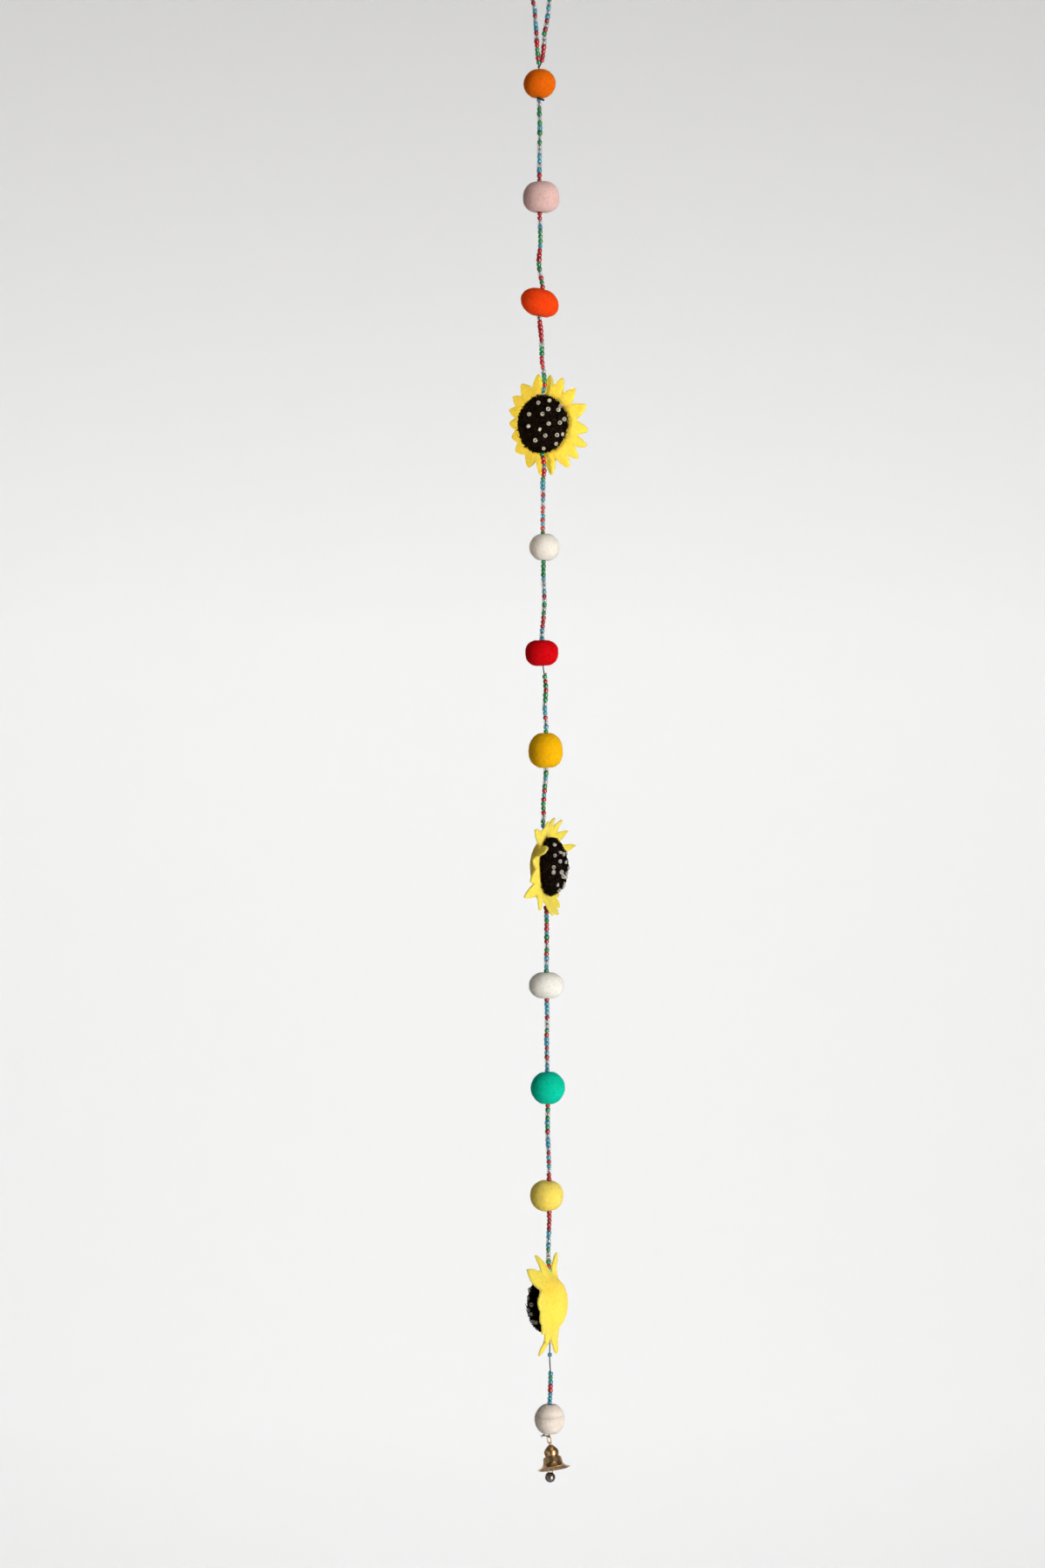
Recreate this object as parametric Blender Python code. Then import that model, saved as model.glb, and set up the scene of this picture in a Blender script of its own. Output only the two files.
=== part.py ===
# Hanging felt ball garland: felt balls, three felt sunflowers, seed beads and a brass bell on one thread.
# Lengths below are in millimetres, X to the right, Y away from the front, Z up from the hanging point.
# The object is written to the scene in metres.
import bpy
import bmesh
import numpy as np
from math import pi, sin, cos, radians, sqrt

for old in list(bpy.data.objects):
    bpy.data.objects.remove(old, do_unlink=True)

MM = 0.001
GAP = 0.3                 # clearance kept between neighbouring pieces

# Thread and beads
THREAD_R = 0.4
THREAD_SIDES = 5
BEAD_R = 1.6              # widest radius of a seed bead
BEAD_WAIST_R = 1.15       # radius where two beads meet
BEAD_PITCH = 2.92
BEAD_SIDES = 5
BORE_R = 0.9              # corner radius of the bore, so its flats clear the thread
LOOP_R = 6.5              # bend of the hanging loop over the hook
LOOP_TOP = BEAD_R         # the inside of the loop's top is the origin
LEFT_BARE = 1.4           # bare thread between the knot and the first bead of each strand
RIGHT_BARE = 3.0

# Felt balls
BALL_SEGMENTS = 14
BALL_LEVELS = (28, 48, 72, 96, 120, 148)   # degrees from the top of each ring of its surface
DIMPLE = 1.3              # how deep the thread pulls a dimple into each end of a ball
DIMPLE_FLOOR_R = 2.1
DIMPLE_RIM_R = 3.5
DIMPLE_RIM_DROP = 0.45

# Felt sunflowers
DOME_R = 18.6             # black centre, widest radius
DOME_BACK = 3.4
DOME_SEAT = 4.2           # where that widest ring stands in front of the petals' plane
POD_R = 17.2              # yellow back, radius at the petals' roots
FELT = 2.0                # thickness of the petal felt
CHANNEL_R = 0.9           # the thread's way through the felt
GROOVE_R = 2.05           # the way of a bead that sinks into the felt
CHANNEL_REACH = 45.0
CHANNEL_STEP = 6.0

# Bell, measured down its own axis from the wire it hangs on
BELL_TILT = radians(8.8)   # to the side
BELL_NOD = radians(16.0)   # its mouth towards the front
BELL_SEGMENTS = 20
BELL_WALL = 0.7
WIRE_R = 0.42
LINK_BEND_R = 1.15        # wire centre line at the link's two round ends
LINK_REACH = 2.8          # between the centres of those ends
LINK_LEAN = radians(12.0)
LINK_TOP = (5.1, 0.0, -979.2)
EYE_R = 1.05              # ring on the bell's crown, around the link's wire
EYE_WIRE_R = 0.32
PIN_DEPTH = 5.2           # cross pin inside the crown that carries the clapper
PIN_R = 0.4
PIN_HALF = 4.15
CLAPPER_WIRE_R = 0.3
CLAPPER_BEND_R = 1.5
CLAPPER_HANG = 1.0        # wire centre line above the pin's centre
CLAPPER_SWING = radians(11.0)   # off the bell's axis
CLAPPER_DROP = 17.3       # from the pin to the middle of the bob
BOB_R = 3.45
BOB_HALF = 3.5


# The thread's own line down through every piece: x, y, z
STRING = [
    (-1.6, -0.1, -66.6), (-1.5, 0.0, -69.5), (-1.5, 0.0, -86.0), (-1.4, 0.0, -90.0), (-1.3, 0.0, -96.0),
    (-1.0, 0.0, -105.0), (-1.1, 0.0, -121.0), (-1.3, 0.0, -142.0), (-1.1, 0.0, -162.0), (-0.7, 0.0, -175.0),
    (-0.6, 0.0, -184.5), (-1.6, 0.0, -195.5), (-0.9, 0.0, -203.0), (0.5, 0.0, -210.5), (0.9, 0.0, -214.5),
    (-1.2, 0.0, -232.0), (-0.9, 0.0, -237.5), (0.2, 0.0, -248.0), (0.4, 0.0, -259.5), (1.4, -0.1, -269.0),
    (2.3, -0.3, -277.5), (1.2, -0.2, -284.0), (0.2, 0.0, -290.0), (-0.2, 0.0, -318.5), (1.3, -0.1, -327.5),
    (1.9, 0.0, -335.0), (1.1, 0.0, -343.0), (1.2, 0.0, -354.0), (1.0, 0.0, -374.0), (1.5, 0.0, -397.0),
    (1.5, 0.0, -408.0), (2.1, 0.0, -421.0), (1.4, 0.0, -434.0), (0.5, 0.0, -446.0), (1.1, 0.0, -464.0),
    (2.6, 0.0, -475.0), (3.0, 0.0, -483.0), (2.3, 0.0, -494.5), (3.1, 0.0, -505.0), (3.2, 0.0, -534.0),
    (2.3, 0.0, -546.0), (1.5, 0.0, -557.0), (1.6, 0.0, -566.0), (1.3, 0.0, -574.0), (2.9, 0.0, -621.0),
    (3.5, 0.0, -630.0), (3.6, 0.0, -650.0), (3.5, 0.0, -668.0), (3.7, 0.0, -688.0), (3.9, 0.0, -699.0),
    (3.6, 0.0, -715.0), (3.9, 0.0, -733.0), (4.3, 0.0, -759.0), (4.2, 0.0, -775.0), (4.9, 0.0, -790.0),
    (5.2, 0.0, -808.0), (5.3, 0.0, -836.0), (4.7, 0.0, -849.0), (4.9, 0.0, -864.0), (5.9, 0.0, -874.0),
    (5.7, 0.0, -915.0), (5.6, 0.0, -926.0), (6.2, 0.0, -938.0), (5.9, 0.0, -950.0), (5.3, 0.0, -960.5),
    (5.1, 0.6, -973.5),
]
# The two strands of the hanging loop, from its knot upwards: x, y, z
LEFT_STRAND = [
    (-1.75, -0.8, -64.0), (-2.25, -1.3, -59.7), (-2.65, -1.2, -55.5), (-3.0, -0.5, -48.0), (-3.5, 0.0, -40.5),
    (-4.1, 0.0, -33.0), (-4.6, 0.0, -27.5), (-5.7, 0.0, -22.0), (-6.3, 0.0, -14.0), (-6.5, 0.0, -8.5),
]
RIGHT_STRAND = [
    (0.2, 1.5, -63.4), (0.7, 1.7, -60.6), (1.3, 1.3, -56.0), (1.9, 0.5, -50.0), (2.1, 0.0, -44.5),
    (3.1, 0.0, -40.5), (4.1, 0.0, -33.5), (5.0, 0.0, -26.5), (5.5, 0.0, -21.5), (6.3, 0.0, -13.5),
    (6.5, 0.0, -8.5),
]
LOOP_KNOT = (-1.6, -0.1, -66.6)
LOOP_KNOT_R = 0.75
RIGHT_STRAND_END = (-0.95, 0.45, -65.9)
# The stitch around the bell's link comes from the back and ends in a short tail with a knot
STITCH_START = (5.1, 1.0, -974.5)
TAIL = [(4.4, -1.7, -977.9), (3.0, -2.6, -977.7), (1.6, -3.2, -977.1)]
TAIL_KNOT_HALF_SIZES = (0.75, 0.75, 0.7)

# name, colour, centre x and z, width, height, turn of the long axis (degrees), squareness, taper, swirl seed
BALLS = [
    ("ball_orange", (0.80, 0.13, 0.01), -1.1, -77.8, 21.2, 20.1, 0, 2.0, 0.00, 1),
    ("ball_pink", (0.74, 0.47, 0.42), 0.0, -153.2, 24.0, 21.1, 0, 2.3, 0.05, 2),
    ("ball_vermilion", (0.86, 0.06, 0.01), -0.9, -223.5, 25.8, 18.6, 19, 2.1, 0.00, 3),
    ("ball_cream", (0.83, 0.78, 0.66), 2.2, -386.4, 20.2, 18.9, 0, 2.0, 0.00, 4),
    ("ball_red", (0.60, 0.00, 0.01), 0.3, -456.8, 22.1, 17.6, 0, 2.5, 0.00, 5),
    ("ball_mustard", (0.90, 0.44, 0.01), 3.0, -521.6, 22.6, 24.0, 0, 2.3, 0.07, 6),
    ("ball_white", (0.84, 0.79, 0.68), 3.3, -678.1, 23.3, 18.2, 0, 2.1, 0.00, 7),
    ("ball_teal", (0.00, 0.50, 0.32), 4.4, -746.4, 22.4, 22.5, 0, 2.0, 0.00, 8),
    ("ball_lemon", (0.86, 0.68, 0.08), 3.7, -818.1, 22.3, 21.1, 0, 2.1, 0.00, 9),
    ("ball_greige", (0.67, 0.60, 0.50), 5.6, -966.8, 20.0, 21.1, 0, 2.0, 0.02, 10),
]

# name, where the stack starts and ends (a ball it touches, or a height), number of beads
BEAD_RUNS = [
    ("beads_01", "ball_orange", "ball_pink", 18),
    ("beads_02", "ball_pink", "ball_vermilion", 17),
    ("beads_03", "ball_vermilion", -285.4, 18),
    ("beads_04", -323.6, "ball_cream", 18),
    ("beads_05", "ball_cream", "ball_red", 18),
    ("beads_06", -471.4, "ball_mustard", 13),
    ("beads_07", "ball_mustard", -573.4, 14),
    ("beads_08", -625.2, "ball_white", 15),
    ("beads_09", "ball_white", "ball_teal", 17),
    ("beads_10", "ball_teal", "ball_lemon", 18),
    ("beads_11", "ball_lemon", -868.9, 14),
    ("beads_12", -922.6, -925.5, 1),
    ("beads_13", -935.4, "ball_greige", 8),
]

# Each sunflower: which way it faces, where it hangs, where the thread runs in its depth, how far its back and
# its black centre bulge, and its petals as rows: clock angle (degrees), reach, radius of the cut beside it,
# and how far the tip leans to the front
SUNFLOWERS = [
    {"name": "sunflower_1", "faces": (-0.545, -0.839), "centre": (3.3, -304.5), "thread_depth": 5.4,
     "back": 8.0, "front": 8.6,
     "petals": [
         (20.6, 32.5, 23.0, -2), (47.3, 31.7, 23.5, -2), (68.9, 33.1, 26.0, -2), (86.6, 33.5, 25.0, -2),
         (102.4, 35.0, 28.0, -2), (125.6, 34.7, 28.0, -1), (142.9, 33.1, 27.5, 0), (158.7, 30.8, 25.0, 1),
         (176.0, 28.6, 24.5, 1), (196.0, 27.6, 25.0, 1), (215.1, 29.6, 25.5, 0), (242.2, 31.5, 24.5, -1),
         (260.4, 34.1, 25.0, -2), (275.0, 33.5, 23.4, -2), (300.0, 33.8, 27.0, -2), (315.5, 33.1, 26.0, -3),
         (333.3, 34.0, 24.1, -3), (350.5, 31.5, 22.9, -3),
     ]},
    {"name": "sunflower_2", "faces": (0.970, -0.243), "centre": (2.1, -599.1), "thread_depth": 0.0,
     "back": 7.8, "front": 10.2,
     "petals": [
         (4.0, 31.0, 23.5, 0), (25.0, 33.0, 23.0, 14), (46.0, 33.0, 27.0, 10.5), (66.0, 34.0, 27.0, 8.5),
         (80.0, 33.0, 25.0, 5.5), (104.0, 31.0, 26.5, 4.5), (127.0, 31.0, 21.5, -1.5), (149.0, 24.5, 21.5, 7.5),
         (171.0, 30.5, 23.0, 0), (196.0, 33.0, 23.5, -1.5), (217.0, 33.0, 26.0, -7), (240.0, 33.0, 23.0, 1),
         (260.0, 33.0, 30.0, 7), (281.0, 33.0, 29.0, 8), (299.0, 31.5, 28.0, 6.5), (319.0, 30.5, 25.0, 4),
         (341.0, 30.0, 24.0, 0),
     ]},
    {"name": "sunflower_3", "faces": (-0.966, 0.259), "centre": (6.8, -890.3), "thread_depth": 1.0,
     "back": 9.3, "front": 10.4,
     "petals": [
         (8.0, 32.5, 26.0, 0.5), (50.0, 32.5, 25.0, 11), (77.0, 34.0, 22.6, 9), (103.0, 34.5, 24.0, -1.5),
         (124.0, 32.5, 24.0, 3), (145.0, 32.0, 24.5, 4), (165.0, 32.0, 24.0, 3), (186.0, 31.5, 24.0, 4),
         (207.0, 32.0, 24.0, 4), (229.0, 32.5, 27.0, 1.5), (257.0, 34.8, 23.5, -1.5), (283.0, 34.8, 26.5, 6.5),
         (304.0, 29.0, 24.0, -0.5), (325.0, 29.5, 27.0, -0.3), (347.0, 31.5, 28.5, -0.5),
     ]},
]

# Bell outline: depth down the axis, outer radius
BELL_OUTLINE = [
    (0.75, 0.75), (1.4, 1.7), (2.9, 3.3), (4.4, 4.4), (5.6, 4.85), (7.3, 4.75), (8.6, 4.3),
    (9.3, 5.9), (12.9, 6.6), (14.6, 7.4), (15.8, 8.7), (16.8, 10.9),
]


def material(name, colour, roughness, metallic=0.0):
    """A plain finish with one colour."""
    made = bpy.data.materials.new(name)
    made.use_nodes = True
    shader = made.node_tree.nodes["Principled BSDF"]
    shader.inputs["Base Color"].default_value = (*colour, 1.0)
    shader.inputs["Roughness"].default_value = roughness
    shader.inputs["Metallic"].default_value = metallic
    return made


def add_piece(name, points, faces, finish, smooth_angle=50):
    """One object from points in millimetres, its faces turned outwards."""
    mesh = bpy.data.meshes.new(name)
    mesh.from_pydata([tuple(p) for p in np.asarray(points, float) * MM], [], faces)
    work = bmesh.new()
    work.from_mesh(mesh)
    bmesh.ops.recalc_face_normals(work, faces=work.faces)
    bmesh.ops.triangulate(work, faces=work.faces)
    work.to_mesh(mesh)
    work.free()
    mesh.shade_smooth()
    mesh.set_sharp_from_angle(angle=radians(smooth_angle))
    piece = bpy.data.objects.new(name, mesh)
    bpy.context.scene.collection.objects.link(piece)
    if finish:
        mesh.materials.append(finish)
    return piece


def add_cutter(name, points, faces):
    """A helper body that shapes another piece and is not part of the object."""
    cutter = add_piece(name, points, faces, None)
    cutter.hide_render = True
    cutter.display_type = "WIRE"
    return cutter


def combine(piece, other, operation):
    """Joins another body to a piece, or cuts it away."""
    change = piece.modifiers.new(other.name, "BOOLEAN")
    change.operation = operation
    change.solver = "EXACT"
    change.object = other


def smooth_line(route, step):
    """Points about one step apart on a smooth curve through the route's points."""
    route = np.asarray(route, float)
    padded = np.vstack([2 * route[0] - route[1], route, 2 * route[-1] - route[-2]])
    line = [route[0]]
    for a, b, c, d in zip(padded[:-3], padded[1:-2], padded[2:-1], padded[3:]):
        count = max(1, int(round(np.linalg.norm(c - b) / step)))
        for t in np.arange(1, count + 1) / count:
            slope_b = (c - a) / 2
            slope_c = (d - b) / 2
            line.append((2 * t**3 - 3 * t**2 + 1) * b + (t**3 - 2 * t**2 + t) * slope_b
                        + (3 * t**2 - 2 * t**3) * c + (t**3 - t**2) * slope_c)
    return np.array(line)


def arc(centre, radius, first, last, steps, across=(1, 0, 0), up=(0, 0, 1)):
    """Points on a round bend, its angles in degrees from the across direction towards up."""
    angles = np.radians(np.linspace(first, last, steps + 1))[:, None]
    spokes = np.cos(angles) * np.asarray(across) + np.sin(angles) * np.asarray(up)
    return np.asarray(centre) + radius * spokes


def along(line):
    """Distance of each point of a line from its start."""
    return np.concatenate([[0.0], np.cumsum(np.linalg.norm(np.diff(line, axis=0), axis=1))])


def at_distance(line, distances):
    """Points of a line at the given distances from its start."""
    travelled = along(line)
    return np.stack([np.interp(distances, travelled, line[:, k]) for k in range(3)], axis=1)


def frames(line, closed=False):
    """Two directions square to the line at each of its points, carried along it without twist."""
    if closed:
        tangents = np.roll(line, -1, axis=0) - np.roll(line, 1, axis=0)
    else:
        tangents = np.gradient(line, axis=0)
    tangents /= np.linalg.norm(tangents, axis=1)[:, None]
    side = np.array([0.0, 1.0, 0.0]) if abs(tangents[0][1]) < 0.8 else np.array([1.0, 0.0, 0.0])
    sides = []
    for tangent in tangents:
        side = side - tangent * np.dot(side, tangent)
        side /= np.linalg.norm(side)
        sides.append(side)
    sides = np.array(sides)
    return sides, np.cross(tangents, sides)


def rings_along(line, radii, count, closed=False):
    """A ring of points around each point of a line."""
    first, second = frames(line, closed)
    angles = np.arange(count) * 2 * pi / count
    spokes = (np.cos(angles)[None, :, None] * first[:, None, :]
              + np.sin(angles)[None, :, None] * second[:, None, :])
    return line[:, None, :] + np.asarray(radii, float)[:, None, None] * spokes


def strip(first, second, count):
    """Faces between two rings whose points start at these numbers."""
    return [(first + k, first + (k + 1) % count, second + (k + 1) % count, second + k) for k in range(count)]


def tube(line, radii, sides):
    """A solid round tube along a line, closed at both ends."""
    points = rings_along(line, radii, sides).reshape(-1, 3)
    last = len(points) - sides
    faces = [tuple(range(sides)), tuple(range(last, last + sides))]
    for k in range(len(line) - 1):
        faces += strip(k * sides, (k + 1) * sides, sides)
    return points, faces


def ring_tube(line, radius, sides):
    """A solid round wire along a closed line."""
    points = rings_along(line, np.full(len(line), radius), sides, closed=True).reshape(-1, 3)
    faces = []
    for k in range(len(line)):
        faces += strip(k * sides, (k + 1) % len(line) * sides, sides)
    return points, faces


def closed_rings(rings):
    """Faces that join a round of rings, each to the next and the last to the first."""
    count = rings.shape[1]
    faces = []
    for k in range(len(rings)):
        faces += strip(k * count, (k + 1) % len(rings) * count, count)
    return rings.reshape(-1, 3), faces


def lump(centre, half_sizes, segments=10, levels=6):
    """A round lump with one point at each pole."""
    points = [np.array([0.0, 0.0, 1.0])]
    for k in range(1, levels):
        polar = pi * k / levels
        turns = np.arange(segments) * 2 * pi / segments
        points += [np.array([sin(polar) * cos(t), sin(polar) * sin(t), cos(polar)]) for t in turns]
    points.append(np.array([0.0, 0.0, -1.0]))
    faces = [(0, 1 + k, 1 + (k + 1) % segments) for k in range(segments)]
    for k in range(levels - 2):
        faces += strip(1 + k * segments, 1 + (k + 1) * segments, segments)
    last = len(points) - 1
    start = last - segments
    faces += [(last, start + (k + 1) % segments, start + k) for k in range(segments)]
    return np.array(points) * np.asarray(half_sizes) + np.asarray(centre), faces


def bead_stack(line, count, beads_per_step=2):
    """Beads side by side on a line as one body, pinched where two meet, with the thread's bore inside."""
    length = along(line)[-1]
    pitch = length / count
    stations = [0.0]
    radii = [BEAD_WAIST_R]
    for k in range(count):
        stations += [(k + 0.5) * pitch, (k + 1) * pitch]
        radii += [BEAD_R, BEAD_WAIST_R]
    outer = rings_along(at_distance(line, stations), radii, BEAD_SIDES)
    bore_steps = max(1, int(round(count / beads_per_step)))
    bore_line = at_distance(line, np.linspace(length, 0.0, bore_steps + 1))
    first, second = frames(at_distance(line, np.linspace(0.0, length, bore_steps + 1)))
    angles = np.arange(BEAD_SIDES) * 2 * pi / BEAD_SIDES
    spokes = (np.cos(angles)[None, :, None] * first[::-1][:, None, :]
              + np.sin(angles)[None, :, None] * second[::-1][:, None, :])
    bore = bore_line[:, None, :] + BORE_R * spokes
    return closed_rings(np.concatenate([outer, bore]))


def string_between(high, low, step=1.5):
    """The stretch of the thread's line between two heights."""
    heights = np.linspace(high, low, max(3, int((high - low) / step)))
    order = STRING_LINE[:, 2]
    return np.stack([np.interp(-heights, -order, STRING_LINE[:, k]) for k in range(3)], axis=1)


def string_at(z):
    """Where the thread is at one height."""
    return string_between(z, z - 0.01)[0]


def felt_ball(centre_x, centre_z, width, height, turn, square, taper, seed):
    """An uneven ball of felt with a dimple at each end and a bore for the thread."""
    wave = np.random.default_rng(seed)
    phases = wave.uniform(0, 2 * pi, 4)
    depth = (width + height) / 2
    turns = np.arange(BALL_SEGMENTS) * 2 * pi / BALL_SEGMENTS
    swing = radians(turn)
    tilt = np.array([[cos(swing), 0, sin(swing)], [0, 1, 0], [-sin(swing), 0, cos(swing)]])
    stretch = tilt @ np.diag([width / 2, depth / 2, height / 2]) @ tilt.T
    rings = []
    for polar in np.radians(BALL_LEVELS):
        cone = np.stack([np.sin(polar) * np.cos(turns), np.sin(polar) * np.sin(turns),
                         np.full(BALL_SEGMENTS, np.cos(polar))], axis=1)
        swell = (np.abs(np.sin(polar))**square + np.abs(np.cos(polar))**square) ** (-1 / square)
        waves = (0.010 * np.sin(2 * turns + phases[0]) + 0.008 * np.sin(3 * turns + 2 * polar + phases[1])
                 + 0.008 * np.cos(3 * polar + phases[2]))
        shape = cone * (swell * (1 + waves * np.sin(polar)))[:, None]
        shape[:, :2] *= 1 - taper * np.cos(polar)
        rings.append(shape @ stretch.T + [centre_x, 0, centre_z])
    half = np.linalg.norm(stretch[2])
    top = centre_z + half
    low = centre_z - half
    caps = []
    for edge, sign in ((top, 1), (low, -1)):
        pole = string_at(edge - sign * DIMPLE)
        dish = [(DIMPLE_RIM_R, DIMPLE_RIM_DROP), (DIMPLE_FLOOR_R, DIMPLE), (BORE_R + 0.05, DIMPLE)]
        for radius, drop in dish:
            caps.append(np.stack([pole[0] + radius * np.cos(turns), pole[1] + radius * np.sin(turns),
                                  np.full(BALL_SEGMENTS, edge - sign * drop)], axis=1))
    for index, ring in enumerate(rings):
        polar = radians(BALL_LEVELS[index])
        pull = np.cos(polar) ** 8
        pole = caps[2].mean(axis=0) if polar < pi / 2 else caps[5].mean(axis=0)
        ring[:, 0] += (pole[0] - ring[:, 0].mean()) * pull
    order = [caps[2], caps[1], caps[0], *rings, caps[3], caps[4], caps[5]]
    return closed_rings(np.array(order)), top, low


def petal_outline(petals):
    """Clock angle, reach and forward lean at the tips, flanks and cuts of a ring of petals."""
    rows = []
    for petal, next_petal in zip(petals, petals[1:] + petals[:1]):
        clock, reach, cut, lean = petal
        next_clock, next_reach, _, next_lean = next_petal
        step = (next_clock - clock) % 360
        flank = (reach + cut) / 2 + 0.6
        next_flank = (next_reach + cut) / 2 + 0.6
        middle = (reach + next_reach) / 2
        rows.append((clock, reach, lean))
        rows.append((clock + step * 0.27, flank, lean * petal_curl(flank, reach)))
        rows.append((clock + step * 0.5, cut, (lean + next_lean) / 2 * petal_curl(cut, middle)))
        rows.append((clock + step * 0.73, next_flank, next_lean * petal_curl(next_flank, next_reach)))
    return np.array(rows)


def petal_curl(radius, reach):
    """Share of a petal's lean at a radius on the way to its tip."""
    return ((radius - POD_R) / (reach - POD_R)) ** 1.4


def flower_axes(faces):
    """Across, up and forward directions of a flower that faces a way."""
    forward = np.array([*faces, 0.0])
    forward /= np.linalg.norm(forward)
    across = np.array([-forward[1], forward[0], 0.0])
    return across, np.array([0.0, 0.0, 1.0]), forward


def flower_point(flower, x, z, depth):
    """Places flower coordinates, across, up and forward, in the object."""
    across, up, forward = flower_axes(flower["faces"])
    centre = flower_centre(flower)
    x, z, depth = np.broadcast_arrays(x, z, depth)
    return centre + x[..., None] * across + z[..., None] * up + depth[..., None] * forward


def flower_centre(flower):
    """Middle of the petals' plane, set so that the thread runs at its own depth through the flower."""
    forward = flower_axes(flower["faces"])[2]
    x, z = flower["centre"]
    return np.array([x, -forward[1] * flower["thread_depth"], z])


def yellow_felt(flower):
    """The back dome and its ring of cut petals as one piece of felt."""
    rows = petal_outline(flower["petals"])
    clock = np.radians(rows[:, 0])
    reach = rows[:, 1]
    lean = rows[:, 2]
    half = FELT / 2

    def ring(radius, depth):
        return flower_point(flower, radius * np.cos(clock), radius * np.sin(clock), depth)

    def petal_ring(share, side):
        return ring(POD_R + (reach - POD_R) * share, lean * share**1.4 + side * half)

    def dome_ring(share):
        return ring(POD_R * share, -half - flower["back"] * sqrt(1 - share**2))

    rings = [dome_ring(0.38), dome_ring(0.78), dome_ring(0.97), petal_ring(0.5, -1), petal_ring(1.0, -0.55),
             petal_ring(1.0, 0.55), petal_ring(0.5, 1), ring(np.full(len(clock), POD_R), half)]
    back = flower_point(flower, 0.0, 0.0, -half - flower["back"])
    front = flower_point(flower, 0.0, 0.0, half)
    count = len(clock)
    points = np.vstack([back[None], np.concatenate(rings), front[None]])
    faces = [(0, 1 + (k + 1) % count, 1 + k) for k in range(count)]
    for k in range(len(rings) - 1):
        faces += strip(1 + k * count, 1 + (k + 1) * count, count)
    last = len(points) - 1
    start = last - count
    faces += [(last, start + k, start + (k + 1) % count) for k in range(count)]
    return points, faces


def black_centre(flower, segments=22):
    """The round stuffed centre, flat at the back where it is sewn to the petals."""
    clock = np.arange(segments) * 2 * pi / segments
    seam = FELT / 2 + GAP
    outline = [(0.45, seam), (0.80, seam), (0.96, DOME_SEAT - DOME_BACK * 0.5), (1.0, DOME_SEAT)]
    for share in (0.95, 0.80, 0.56, 0.28):
        outline.append((share, DOME_SEAT + flower["front"] * sqrt(1 - share**2)))
    wobble = 1 + 0.012 * np.sin(5 * clock) + 0.010 * np.cos(3 * clock)
    edge_x = DOME_R * wobble * np.cos(clock)
    edge_z = DOME_R * wobble * np.sin(clock)
    rings = [flower_point(flower, share * edge_x, share * edge_z, depth) for share, depth in outline]
    back = flower_point(flower, 0.0, 0.0, seam)
    front = flower_point(flower, 0.0, 0.0, DOME_SEAT + flower["front"])
    points = np.vstack([back[None], np.concatenate(rings), front[None]])
    faces = [(0, 1 + (k + 1) % segments, 1 + k) for k in range(segments)]
    for k in range(len(rings) - 1):
        faces += strip(1 + k * segments, 1 + (k + 1) * segments, segments)
    last = len(points) - 1
    start = last - segments
    faces += [(last, start + k, start + (k + 1) % segments) for k in range(segments)]
    return points, faces


def hanging_axes(tilt, nod=0.0):
    """Down, across and back directions of something that leans sideways and nods to the front."""
    plumb = np.array([sin(tilt), 0.0, -cos(tilt)])
    back = np.array([0.0, 1.0, 0.0])
    across = np.array([cos(tilt), 0.0, sin(tilt)])
    return cos(nod) * plumb - sin(nod) * back, across, cos(nod) * back + sin(nod) * plumb


def long_link(top, down, across, reach, bend_r, steps=6):
    """Closed line of a wire link: two straight sides and two round ends."""
    top = np.asarray(top, float)
    bottom = top + reach * down
    upper = arc(top, bend_r, 0, 180, steps, across, -down)
    lower = arc(bottom, bend_r, 180, 360, steps, across, -down)
    return np.vstack([upper, lower])


def turned(outline, origin, down, across, back, segments):
    """An outline of depth and radius turned around an axis, as rings of points."""
    turns = np.arange(segments) * 2 * pi / segments
    spokes = np.cos(turns)[:, None] * across + np.sin(turns)[:, None] * back
    rings = [origin + depth * down + radius * spokes for depth, radius in outline]
    return np.array(rings)


# The thread's line, from the loop's knot down to the stitch that holds the bell's link, and its knotted end
wire_top = np.array(LINK_TOP) + LINK_BEND_R * np.array([0.0, 0.0, 1.0])
stitch = arc(wire_top, LINK_BEND_R, 180, 360, 8, across=(0, -1, 0))
STRING_LINE = smooth_line(STRING, 2.0)
thread_line = smooth_line([*STRING[:-1], STITCH_START, *stitch, *TAIL], 20.0)

left_line = smooth_line([LOOP_KNOT, *LEFT_STRAND], 2.0)
right_line = smooth_line([*RIGHT_STRAND[::-1], RIGHT_STRAND_END], 2.0)
loop_centre = (0.0, 0.0, LOOP_TOP - LOOP_R)
loop_top = arc(loop_centre, LOOP_R, 180, 0, 16)
loop_line = np.vstack([left_line[:5], left_line[5::3], loop_top, right_line[:-5:3], right_line[-5:]])

thread_finish = material("thread", (0.012, 0.011, 0.012), 0.75)
whole_thread = np.vstack([thread_line[::-1], loop_line[1:]])
thread_solid = tube(whole_thread, np.full(len(whole_thread), THREAD_R), THREAD_SIDES)
thread = add_piece("thread", *thread_solid, thread_finish)
loop_knot = add_cutter("loop_knot", *lump(LOOP_KNOT, (LOOP_KNOT_R, LOOP_KNOT_R, LOOP_KNOT_R)))
combine(thread, loop_knot, "UNION")
tail_knot = add_cutter("tail_knot", *lump(TAIL[-1], TAIL_KNOT_HALF_SIZES))
combine(thread, tail_knot, "UNION")

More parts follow.
